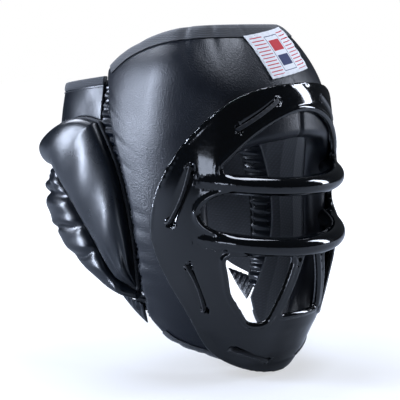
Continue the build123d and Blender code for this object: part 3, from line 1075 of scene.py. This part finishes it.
@dataclass
class Cage:
    """The moulded face cage, with its laces."""

    gap: float = 0.5
    wall: float = 4.0
    bar_half_width: float = 91.0
    heart: float = 6.3
    bars: tuple[tuple[float, float, float], ...] = ((38.0, 105.0, 7.0), (-5.5, 108.0, 9.5))
    lace_half_width: float = 1.75
    lace_half_height: float = 0.75
    voxel_mm: float = 1.2  # fine enough to keep a 2.5 mm lip round

    def __post_init__(self) -> None:
        """Prepares the outlines."""
        self.edge = smooth_line([(-104, 110), (-82, 104), (-63, 86), (-39, 54), (-21, 19),
                                 (-16, -8), (-25, -44), (-37, -84), (-43, -114), (-60, -131),
                                 (-84, -140)], 240)
        self.laces = {"brow": ((28, 93), (60, 72)), "temple": ((88, 41), (95.5, -2)),
                      "cheek": ((87.5, -38), (73, -74)), "chin": ((48, -110), (19, -123))}

    def bar_height(self, bar: tuple[float, float, float], x: Array) -> Array:
        """The height of a bar's middle at a distance to the side."""
        drop = bar[1] * math.sin(math.radians(bar[2]))
        return bar[0] - drop * np.sqrt(np.clip(1 - (x / self.bar_half_width) ** 2, 0, 1))

    @staticmethod
    def rounded(ring: Points2, radius: float, count: int) -> Array:
        """A closed outline with its corners rounded, as even samples."""
        p = np.asarray(ring, float)
        samples = []
        for before, corner, after in zip(np.roll(p, 1, 0), p, np.roll(p, -1, 0)):
            a, b = before - corner, after - corner
            la, lb = np.linalg.norm(a), np.linalg.norm(b)
            r = min(radius, la * 0.45, lb * 0.45)
            start, end = corner + a / la * r, corner + b / lb * r
            t = np.linspace(0, 1, 9)[:, None]
            samples.append((1 - t) ** 2 * start + 2 * t * (1 - t) * corner + t**2 * end)
        line = np.concatenate(samples + [samples[0][:1]])
        run = run_lengths(line)
        even = np.linspace(0, run[-1], count)
        return np.stack([np.interp(even, run, line[:, k]) for k in (0, 1)], 1)

    def openings(self) -> list[Array]:
        """The outline of each slot and vent, seen from the front."""
        upper, lower = self.bars
        arch = smooth_line([(-72, 43), (-56, 61), (-30, 78), (0, 85), (30, 78), (56, 61),
                            (72, 43)], 60)
        x = np.linspace(72, -72, 40)
        brow = np.concatenate([arch, np.stack([x, self.bar_height(upper, x) + self.heart], 1)])
        x = np.linspace(-66, 66, 40)
        top = np.stack([x, self.bar_height(upper, x) - self.heart], 1)
        low = np.stack([x, self.bar_height(lower, x) + self.heart], 1)[::-1]
        middle = (top[0, 1] + low[0, 1]) / 2
        half = (top[0, 1] - low[0, 1]) / 2
        q = np.linspace(0, np.pi, 20)[1:-1]
        ends = [np.stack([side * (66 + 18 * np.sin(q)), middle + side * half * np.cos(q)], 1)
                for side in (1, -1)]
        eye = np.concatenate([top, ends[0], low, ends[1]])
        cheek = [(17, -30), (72, -27), (64, -60), (46, -87), (33, -87)]
        other = [(-px, pz) for px, pz in reversed(cheek)]
        chin = [(-8, -30), (8, -30), (24, -81), (-24, -81)]
        return [self.rounded(brow, 2, 260), self.rounded(eye, 2, 260),
                self.rounded(cheek, 9, 180), self.rounded(other, 9, 180),
                self.rounded(chin, 4, 150)]

    def hole_points(self, name: str, grow: float) -> Array:
        """The two holes of a lace on the wearer's left, on the form grown by a distance."""
        xz = np.asarray(self.laces[name], float)
        return HEAD.front(xz[:, 0], xz[:, 1], grow)

    def lips(self) -> list[bpy.types.Object]:
        """A raised, rounded lip along the flange's edge and round every opening."""
        made = []
        for side in Side:
            line = self.edge[4:-2]
            inset = np.gradient(line, axis=0)
            inset = unit(np.stack([inset[:, 1], -inset[:, 0]], 1))
            line = line + inset * 2.3
            path = HEAD.side(line[:, 0], line[:, 1], self.gap + 2.3)
            under = HEAD.side(line[:, 0], line[:, 1], 0.0)
            up = path - under
            path[:, 0] *= side.value
            up[:, 0] *= side.value
            made.append(ribbon("edge_lip", path, up, 2.7, 2.5, 2.0, 16))
        for ring in self.openings():
            tangent = np.roll(ring, -1, 0) - np.roll(ring, 1, 0)
            after = np.roll(ring, -1, 0)
            area = np.sum(ring[:, 0] * after[:, 1] - after[:, 0] * ring[:, 1])
            turn = unit(np.stack([tangent[:, 1], -tangent[:, 0]], 1) * np.sign(area), 1e-9)
            line = ring + turn * 1.7
            path = HEAD.front(line[:, 0], line[:, 1], self.gap + 2.7)
            up = path - HEAD.front(line[:, 0], line[:, 1], 0.0)
            made.append(ribbon("opening_lip", path, up, 2.9, 2.9, 2.0, 16))
        return made

    def build_cage(self, wear: Wardrobe) -> None:
        """The cage: the flange and bars with lips, fused, then polished."""
        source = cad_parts["face_cage"]
        deselect()
        cage = bpy.data.objects.new("moulded_cage", source.data.copy())
        bpy.context.collection.objects.link(cage)
        in_edit(cage, lambda: bpy.ops.mesh.remove_doubles(threshold=1e-5))
        lips = self.lips()
        activate(cage)
        for lip in lips:
            lip.select_set(True)
        bpy.ops.object.join()
        cage.data.remesh_voxel_size = self.voxel_mm * MM
        bpy.ops.object.voxel_remesh()
        self.polish(cage, 14)
        self.true_up(cage)
        self.polish(cage, 4)
        activate(cage)
        bpy.ops.object.shade_smooth()
        finish(cage, wear.cage, Body.SHELL, ["face_cage"])

    @staticmethod
    def neighbours(obj: bpy.types.Object) -> Callable[[Array], Array]:
        """A function that gives the mean of each vertex's neighbours."""
        mesh = obj.data
        edges = np.empty(len(mesh.edges) * 2, np.int64)
        mesh.edges.foreach_get("vertices", edges)
        a, b = edges.reshape(-1, 2).T
        n = len(mesh.vertices)
        count = np.bincount(a, minlength=n) + np.bincount(b, minlength=n)

        def mean(p: Array) -> Array:
            """The mean of the neighbours."""
            total = np.stack([np.bincount(a, p[b, k], n) + np.bincount(b, p[a, k], n)
                              for k in range(p.shape[1])], 1)
            return total / np.maximum(count, 1)[:, None]

        return mean

    def polish(self, obj: bpy.types.Object, rounds: int) -> None:
        """Smooths the surface and keeps its size."""
        mean = self.neighbours(obj)
        p = coords(obj)
        for _ in range(rounds):
            p = p + 0.6 * (mean(p) - p)
            p = p - 0.62 * (mean(p) - p)
        p = p + 0.4 * (mean(p) - p)
        move_to(obj, p)

    def true_up(self, obj: bpy.types.Object) -> None:
        """Draws the plain parts of the flange onto the form and presses in the lace grooves."""
        p = coords(obj) / MM
        g = HEAD.growth(p)
        outer = self.gap + self.wall
        for face, sign in ((outer, 1), (self.gap, -1)):
            near = 1 - smoothstep(np.abs(g - face), 0.5, 1.0)
            radial = unit(p * np.array([1.0, 1.0, 0.0]), 1e-9)
            p = p + radial * ((face - g) * near)[:, None]
        slope = unit(p / np.array([97.0**2, 94.0**2, 400.0**2]))
        outside = smoothstep(g, 1.8, 3.4)
        dent = np.zeros(len(p))
        for name in self.laces:
            a, b = self.hole_points(name, outer)
            q = p.copy()
            q[:, 0] = np.abs(q[:, 0])
            ab = b - a
            t = np.clip(((q - a) @ ab) / (ab @ ab), 0, 1)
            off = np.linalg.norm(q - a - t[:, None] * ab, axis=1)
            dent = np.maximum(dent, 1.25 * (1 - smoothstep(off, 1.6, 4.2)))
        p = p - slope * (dent * outside)[:, None]
        move_to(obj, p * MM)

    def build_lace(self, wear: Wardrobe, name: str, side: Side) -> None:
        """One flat braided lace, over the cage and down through two holes."""
        top = self.gap + self.wall
        xz = np.asarray(self.laces[name], float)
        t = np.linspace(0, 1, 40)
        line = xz[0] * (1 - t[:, None]) + xz[1] * t[:, None]
        sag = top - 0.55 + 0.35 * np.sin(np.pi * t)
        over = HEAD.front(line[:, 0], line[:, 1], sag)
        under = HEAD.front(line[:, 0], line[:, 1], sag - 4)
        up = unit(over - under)
        ends = []
        for k, direction in ((0, 1), (-1, -1)):
            ahead = over[k] - over[k + direction]
            ahead /= np.linalg.norm(ahead)
            q = np.linspace(0, np.pi / 2, 7)[1:]
            bend = over[k] + 1.3 * (np.sin(q)[:, None] * ahead - (1 - np.cos(q))[:, None] * up[k])
            leg = bend[-1] - up[k] * np.array([[2.0], [4.5], [6.5]])
            turn = np.cos(q)[:, None] * up[k] + np.sin(q)[:, None] * ahead
            legs = np.repeat(turn[-1:], len(leg), 0)
            ends.append((np.concatenate([bend, leg]), np.concatenate([turn, legs])))
        path = np.concatenate([ends[0][0][::-1], over, ends[1][0]])
        ups = np.concatenate([ends[0][1][::-1], up, ends[1][1]])
        path[:, 0] *= side.value
        ups[:, 0] *= side.value
        lace = ribbon(f"cage_lace_{name}_{side.word}", path, ups, self.lace_half_width,
                      self.lace_half_height)
        finish(lace, wear.cord, Body.SHELL, [f"lace_{name}_{side.word}"])

    def build(self, wear: Wardrobe) -> None:
        """Builds the cage and its laces."""
        self.build_cage(wear)
        for name in self.laces:
            for side in Side:
                self.build_lace(wear, name, side)


# ---------------------------------------------------------------- the wings


@dataclass
class Wing:
    """One rear wing: backing, ear cushion, neck cushion, flap, seam and binding."""

    side: Side
    ear_thick: float = 14.6
    neck_thick: float = 10.8
    backing_thick: float = 3.0
    front: tuple = ((24, -67), (31, 0), (45, 40), (66, 71))
    top: tuple = ((66, 71), (90, 73), (112, 64), (130, 53), (150, 43), (175, 39))
    back: tuple = ((24, -67), (43, -57), (58, -40), (77, -16), (95, 6), (115, 28), (140, 27),
                   (175, 22))
    neck_top: tuple = ((24, -69), (44, -58.7), (59.3, -41.3), (78.3, -17.3), (96.3, 4.7),
                       (116, 26.2), (140, 25.2), (175, 20.3))
    neck_bottom: tuple = ((24, -76), (52, -69.5), (83, -53), (110, -34), (130, -14), (175, -5))
    flap_top: tuple = ((66, 109), (175, 94))
    split_phi: float = math.pi - 1.0 / 140  # the angle at the gap between the two wings

    @property
    def body(self) -> Body:
        """The body that this wing is."""
        return Body.WING_LEFT if self.side is Side.LEFT else Body.WING_RIGHT

    def turned(self, p: Array) -> Array:
        """Points of the left wing, for this wing's side."""
        p = p.copy()
        p[:, 0] *= self.side.value
        return p

    def level(self, line: Points2, phi: Array, guess: float) -> Array:
        """The height of a side outline at each angle round the form."""
        sampled = smooth_line(line, 160)
        z = np.full(phi.shape, guess)
        for _ in range(30):
            y = WING.point(phi, z, np.zeros_like(phi))[:, 1]
            z = 0.5 * z + 0.5 * np.interp(y, sampled[:, 0], sampled[:, 1])
        return z

    def side_line(self, points: Points2, count: int) -> Array:
        """A side outline as angle and height."""
        line = smooth_line(points, count)
        return np.stack([WING.phi_side(line[:, 0], line[:, 1]), line[:, 1]], 1)

    def round_line(self, line: Points2, start: float, guess: float, count: int) -> Array:
        """An outline from a start angle round to the split at the back, as angle and height."""
        phi = np.linspace(start, self.split_phi, count)
        return np.stack([phi, self.level(line, phi, guess)], 1)

    def lifted(self, line: Array, high: float, low: float) -> tuple[Array, Array]:
        """A path over the form, and the outward directions there.

        Args:
            line: The path, as angle and height.
            high: The path's growth over the form.
            low: The growth that the directions are measured from.

        Returns:
            The points and the directions.
        """
        path, under = (self.turned(WING.point(line[:, 0], line[:, 1], np.full(len(line), g)))
                       for g in (high, low))
        return path, path - under

    def ear_lines(self) -> tuple[Array, Array]:
        """The outer and inner edges of the ear cushion, as angle and height."""
        rise = self.side_line(self.front, 70)
        over = self.round_line(self.top, rise[-1, 0], 70.0, 100)
        outer = np.concatenate([rise, over[1:]])
        climb = self.side_line(self.back[:6], 80)
        rest = self.round_line(self.back, climb[-1, 0], 30.0, 90)
        inner = np.concatenate([climb, rest[1:]])
        return outer, inner

    def neck_lines(self) -> tuple[Array, Array]:
        """The upper and lower edges of the neck cushion, as angle and height."""
        climb = self.side_line(self.neck_top[:6], 80)
        rest = self.round_line(self.neck_top, climb[-1, 0], 30.0, 90)
        upper = np.concatenate([climb, rest[1:]])
        start = float(WING.phi_side(np.array(24.0), np.array(-76.0)))
        lower = self.round_line(self.neck_bottom, start, -60.0, 169)
        return upper, lower

    def cushion(self, name: str, lines: tuple[Array, Array], thick: float,
                relief: Callable[[Array, Array, Array], Array], power: float) -> bpy.types.Object:
        """A puffed closed cushion between two edges.

        Args:
            name: The piece's name.
            lines: Its two edges, as angle and height.
            thick: How far it stands out.
            relief: Extra height, from share along, share across and height z.
            power: How quickly its sides rise: less is puffier.

        Returns:
            The new object.
        """
        a_line, b_line = lines

        def place(u: Array, v: Array) -> Array:
            """The cushion's surface."""
            a, b = along(a_line, u), along(b_line, u)
            t = (1 - np.cos(2 * np.pi * v)) / 2
            mid = a * (1 - t[:, None]) + b * t[:, None]
            rise = np.abs(np.sin(2 * np.pi * v)) ** power
            wide = np.linalg.norm((a - b) * np.array([90.0, 1.0]), axis=1)
            ends = np.sqrt(np.clip(wide / (1.6 * thick), 0, 1))
            ends = ends * np.sqrt(np.clip(1 - np.clip((u - 0.955) / 0.045, 0, 1) ** 2, 0.02, 1))
            ends = ends * np.sqrt(np.clip(u / 0.05, 0.02, 1))
            high = thick * rise * ends
            grow = np.where(v <= 0.5, 0.3 + high + relief(u, t, mid[:, 1]) * rise * ends,
                            0.3 + 0 * high)
            return self.turned(WING.point(mid[:, 0], mid[:, 1], grow))

        return mould(name, 220, 64, place, fill=True)

    def build_ear(self, wear: Wardrobe) -> None:
        """The smooth ear cushion, folded at its rear corner and gathered at its tip."""
        rng = np.random.RandomState(11 + self.side.value)
        gathers = [(rng.uniform(0, 1), rng.uniform(0.5, 1.3)) for _ in range(9)]

        def relief(u: Array, t: Array, z: Array) -> Array:
            """Folds at the corner and gathers at the tip."""
            d = 0 * u
            for at, size in gathers:
                d -= size * 1.5 * bell(t, at, 0.06) * smoothstep(-u, -0.2, -0.02)
            d -= 3.4 * bell(u + 0.10 * (t - 0.5), 0.70, 0.010) * smoothstep(t, 0.35, 0.8)
            d -= 1.6 * bell(u - 0.06 * t, 0.735, 0.009) * smoothstep(t, 0.2, 0.7)
            d -= 1.4 * bell(u + 0.03 * t, 0.80, 0.012)
            d -= 1.0 * bell(u, 0.88, 0.010)
            d += 0.7 * np.sin(u * 38 + 3 * t) * np.sin(np.pi * t)
            return d

        ear = self.cushion(f"ear_pad_{self.side.word}", self.ear_lines(), self.ear_thick,
                           relief, 0.62)
        finish(ear, wear.smooth, self.body, [f"ear_cushion_{self.side.word}"])

    def build_neck(self, wear: Wardrobe) -> None:
        """The neck cushion, with deep creases across it."""
        creases = ((23, 1.6, 2.2), (13, 2.4, 2.4), (2, 3.8, 3.0), (-25, 3.6, 3.2), (-46, 2.2, 3.0))

        def relief(u: Array, t: Array, z: Array) -> Array:
            """Creases that wander a little."""
            d = 0 * u
            for k, (level, depth, width) in enumerate(creases):
                wander = 3.0 * np.sin(u * 9 + k * 1.7) + 1.5 * np.sin(u * 23 + k)
                d -= depth * bell(z, level + wander - 12 * (u - 0.6), width)
            d += 0.6 * np.sin(z * 0.35 + 6 * u)
            return d

        neck = self.cushion(f"neck_pad_{self.side.word}", self.neck_lines(), self.neck_thick,
                            relief, 0.55)
        finish(neck, wear.smooth, self.body, [f"neck_cushion_{self.side.word}"])

    def panel(self, name: str, lines: tuple[Array, Array], thick: float, nu: int, nv: int,
              puff: float = 0.6) -> bpy.types.Object:
        """A thin padded panel between two edges, inside the form."""
        a_line, b_line = lines

        def place(u: Array, v: Array) -> Array:
            """The panel's surface."""
            a, b = along(a_line, u), along(b_line, u)
            q = 2 * np.pi * v
            t = 0.5 - 0.5 * squared(np.cos(q), 0.9)
            mid = a * (1 - t[:, None]) + b * t[:, None]
            h = squared(np.sin(q), 0.35)
            soft = 1 + puff * 0.15 * np.sin(mid[:, 0] * 17) * np.sin(mid[:, 1] * 0.14)
            grow = -thick / 2 + h * (thick / 2 - 0.1) * soft
            return self.turned(WING.point(mid[:, 0], mid[:, 1], grow))

        return mould(name, nu, nv, place, fill=True)

    def build_backing(self, wear: Wardrobe) -> None:
        """The lined carrier panel that the cushions are sewn to."""
        outer, _ = self.ear_lines()
        _, lower = self.neck_lines()
        back = self.panel(f"wing_lining_{self.side.word}", (outer, lower), self.backing_thick,
                          180, 60)
        finish(back, wear.lining, self.body, [f"wing_backing_{self.side.word}"])

    def build_flap(self, wear: Wardrobe) -> None:
        """The flat flap over the ear cushion, with its folded binding and a row of stitches."""
        start = float(WING.phi_side(np.array(64.5), np.array(90.0)))
        phi = np.linspace(start, self.split_phi, 120)
        raised = [(y, z + 1.5) for y, z in self.top]
        low = np.stack([phi, self.level(raised, phi, 70.0)], 1)
        high = np.stack([phi, self.level(self.flap_top, phi, 100.0)], 1)
        flap = self.panel(f"rear_flap_panel_{self.side.word}", (high, low), 2.6, 160, 40, 1.0)
        finish(flap, wear.smooth, self.body, [f"rear_flap_{self.side.word}"])

        def tape(u: Array, v: Array) -> Array:
            """A tape folded over the flap's upper edge."""
            top = along(high, u)
            q = 2 * np.pi * v
            c, s = np.cos(q), np.sin(q)
            drop = 3.2 - 3.8 * squared(c, 0.6)
            out = -1.5 + 2.15 * squared(s, 0.45)
            return self.turned(WING.point(top[:, 0], top[:, 1] - drop, out))

        binding = mould(f"flap_binding_tape_{self.side.word}", 120, 20, tape, fill=True)
        finish(binding, wear.tape, self.body, [f"flap_binding_{self.side.word}"])
        line = along(high, np.linspace(0.01, 0.99, 150))
        line[:, 1] -= 8.4
        path, up = self.lifted(line, 0.35, -3.0)
        row = stitch_row(f"flap_stitches_{self.side.word}", path, up, pitch=3.8, length=2.6)
        finish(row, wear.thread, self.body)

    def build_seam(self, wear: Wardrobe) -> None:
        """Piping and stitches along the ear cushion's front edge."""
        outer, _ = self.ear_lines()
        line = outer[:120]
        lead = line.copy()
        lead[:, 0] -= 0.012
        path, up = self.lifted(lead, 0.4, -4.0)
        piping = ribbon(f"ear_seam_piping_{self.side.word}", path, up, 1.3, 1.8, 2.0, 10)
        finish(piping, wear.tape, self.body, [f"ear_seam_tape_{self.side.word}"])
        near = line.copy()
        near[:, 0] += 0.035
        near[:, 1] -= 1.0
        path, up = self.lifted(near, 6.4, 2.0)
        row = stitch_row(f"ear_seam_stitches_{self.side.word}", path[6:], up[6:],
                         pitch=4.4, length=2.8)
        finish(row, wear.thread, self.body)

    def build_hinge_cloth(self, wear: Wardrobe) -> None:
        """The gathered vinyl that joins the wing to the shell's rear edge."""
        shell_edge = smooth_line(REAR_EDGE, 300)[::-1]
        front = [*self.front, (64, 90), (66.5, 107)]
        wing_edge = smooth_line(front, 300)
        low, high = -86, 106

        def place(u: Array, v: Array) -> Array:
            """The cloth, slack between its two seams."""
            z = low + (high - low) * u
            ys = np.interp(z, shell_edge[:, 1], shell_edge[:, 0]) - 5
            ye = np.interp(z, wing_edge[:, 1], wing_edge[:, 0]) + 4
            a = HEAD.side(ys, z, -10.0)
            b = WING.side(ye, z, -1.6)
            p = a * (1 - v[:, None]) + b * v[:, None]
            slack = np.sin(np.pi * v)
            p[:, 0] -= slack * (1.6 + 0.9 * np.sin(u * 160) + 0.5 * np.sin(u * 71))
            return self.turned(p)

        cloth = mould(f"hinge_gather_{self.side.word}", 280, 14, place, closed=False)
        face_out(cloth, (0, 20, 0))
        apply_modifier(cloth, "SOLIDIFY", thickness=1.0 * MM, offset=-1.0)
        finish(cloth, wear.smooth, None)
        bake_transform(cloth)

    def build(self, wear: Wardrobe) -> None:
        """Builds the whole wing."""
        self.build_hinge_cloth(wear)
        self.build_backing(wear)
        self.build_ear(wear)
        self.build_neck(wear)
        self.build_flap(wear)
        self.build_seam(wear)


# ---------------------------------------------------------------- the closure


@dataclass
class Closure:
    """The strap that joins the wings, its anchor and its patches."""

    z_low: float = 64.0
    z_high: float = 88.0

    def strip(self, name: str, x0: float, x1: float, low: float, high: float,
              inset: float = 0.0) -> bpy.types.Object:
        """A strip of webbing or nap that lies on the back of the wings."""
        z0, z1 = self.z_low + inset, self.z_high - inset

        def place(u: Array, v: Array) -> Array:
            """The strip's surface, with rounded edges."""
            x = x0 + (x1 - x0) * u
            q = 2 * np.pi * v
            c, s = np.cos(q), np.sin(q)
            z = (z0 + z1) / 2 - (z1 - z0) / 2 * squared(c, 0.5)
            mid, half = (low + high) / 2, (high - low) / 2
            grow = mid + half * squared(s, 0.35)
            size = WING.sizes(z)
            share = np.abs(x) / (size[:, 0] + grow)
            y = WING.centre_y + (size[:, 2] + grow) * (1 - share**4) ** 0.25
            return np.stack([x, y, z], 1)

        return mould(name, 90, 40, place, fill=True)

    def build(self, wear: Wardrobe) -> None:
        """Builds the strap, the anchor and the two patches."""
        finish(self.strip("loop_tape", -43, -8, 0.3, 1.3, 1.0), wear.nap, Body.WING_RIGHT,
               ["loop_patch"])
        finish(self.strip("hook_tape", -43, -8, 1.6, 2.6, 1.0), wear.nap, Body.STRAP,
               ["hook_patch"])
        finish(self.strip("closing_strap", -46, 40, 2.7, 4.9), wear.webbing, Body.STRAP,
               ["rear_strap"])
        finish(self.strip("strap_end_anchor", 40.6, 58, 0.3, 4.9), wear.webbing, Body.WING_LEFT,
               ["strap_anchor"])


# ---------------------------------------------------------------- the studio


@dataclass
class Studio:
    """Floor, lights, surroundings and camera."""

    azimuth: float = -47.0
    elevation: float = 8.0
    distance: float = 1.102
    lens: float = 115.0
    across: float = -0.016
    rise: float = 0.0027

    def floor(self) -> None:
        """A plain white floor just under the object, whose painted glow is dimmed to a painted grey
        shade right under the object.
        """
        deselect()
        bpy.ops.mesh.primitive_plane_add(size=8, location=(0, 0, CAD_BOX[0][2] - 0.002))
        floor = bpy.context.object
        floor.name = "studio_floor"
        in_edit(floor, lambda: bpy.ops.mesh.subdivide(number_cuts=3))
        material = bpy.data.materials.new("white_paper")
        material.use_nodes = True
        tree = material.node_tree
        shader = tree.nodes["Principled BSDF"]
        shader.inputs["Base Color"].default_value = linear("#9ea3aa")
        shader.inputs["Roughness"].default_value = 0.9
        shader.inputs["Emission Color"].default_value = linear("#ffffff")
        # Painted glow, seen only by the camera: it is dimmed to a painted soft grey shade under the
        # object and rises to full white further out.
        at = add_node(tree, "ShaderNodeTexCoord").outputs["Object"]
        far = add_node(tree, "ShaderNodeVectorMath", {0: at}, operation="LENGTH")
        painted_shade_under_object = add_node(tree, "ShaderNodeMapRange",
                        {"Value": far.outputs["Value"], "From Min": 0.1, "From Max": 0.45,
                         "To Min": 0.55, "To Max": 1.0}, interpolation_type="SMOOTHSTEP")
        seen = add_node(tree, "ShaderNodeLightPath")
        glow = add_node(tree, "ShaderNodeMath",
                        {0: painted_shade_under_object.outputs[0], 1: seen.outputs["Is Camera Ray"]},
                        operation="MULTIPLY")
        tree.links.new(glow.outputs[0], shader.inputs["Emission Strength"])
        floor.data.materials.append(material)

    def light(self, name: str, at: tuple[float, float, float], size: tuple[float, float],
              watts: float, colour: str = "#f4f7ff") -> None:
        """One soft rectangular light that faces the object."""
        data = bpy.data.lights.new(name, "AREA")
        data.shape = "RECTANGLE"
        data.size, data.size_y = size
        data.energy = watts
        data.color = linear(colour)[:3]
        obj = bpy.data.objects.new(name, data)
        obj.location = at
        obj.rotation_euler = (-Vector(at)).to_track_quat("-Z", "Y").to_euler()
        bpy.context.collection.objects.link(obj)

    def surroundings(self) -> None:
        """A white backdrop to look at, in a dim room to reflect."""
        world = bpy.data.worlds.new("studio")
        bpy.context.scene.world = world
        world.use_nodes = True
        tree = world.node_tree
        tree.nodes.clear()
        path = add_node(tree, "ShaderNodeLightPath")
        seen = add_node(tree, "ShaderNodeBackground", {"Color": linear("#ffffff"), "Strength": 1.0})
        felt = add_node(tree, "ShaderNodeBackground",
                        {"Color": linear("#dfe8f6"), "Strength": 0.05})
        mix = add_node(tree, "ShaderNodeMixShader",
                       {0: path.outputs["Is Camera Ray"], 1: felt.outputs[0], 2: seen.outputs[0]})
        add_node(tree, "ShaderNodeOutputWorld", {"Surface": mix.outputs[0]})

    def camera(self) -> None:
        """The camera."""
        az, el = math.radians(self.azimuth), math.radians(self.elevation)
        right = Vector((math.cos(az), math.sin(az), 0))
        back = Vector((math.sin(az) * math.cos(el), -math.cos(az) * math.cos(el), math.sin(el)))
        target = right * self.across + Vector((0, 0, self.rise))
        data = bpy.data.cameras.new("camera")
        data.lens = self.lens
        data.clip_start = 0.05
        obj = bpy.data.objects.new("camera", data)
        obj.location = target + back * self.distance
        obj.rotation_euler = (-back).to_track_quat("-Z", "Y").to_euler()
        bpy.context.collection.objects.link(obj)
        bpy.context.scene.camera = obj

    def build(self) -> None:
        """Builds the studio."""
        self.floor()
        self.light("key_above", (0.15, -0.45, 1.9), (1.2, 0.5), 24, "#e6eeff")
        self.light("strip_behind_left", (-1.32, 1.15, 0.45), (0.16, 1.5), 62, "#dce8ff")
        self.light("fill_front", (-1.5, -1.0, -0.02), (0.45, 0.35), 3, "#dce8ff")
        self.light("rim_right", (1.3, -0.9, 0.6), (0.3, 1.2), 19, "#e6eeff")
        self.light("back_top", (0.3, 1.4, 1.3), (1.0, 0.5), 24, "#e6eeff")
        self.surroundings()
        self.camera()
        bpy.context.scene.view_settings.view_transform = "Standard"


def main() -> None:
    """Builds the headgear and its studio."""
    wear = Wardrobe()
    Shell().build(wear)
    Cage().build(wear)
    for side in Side:
        Wing(side).build(wear)
    Closure().build(wear)
    Studio().build()


if __name__ == "__main__":
    main()
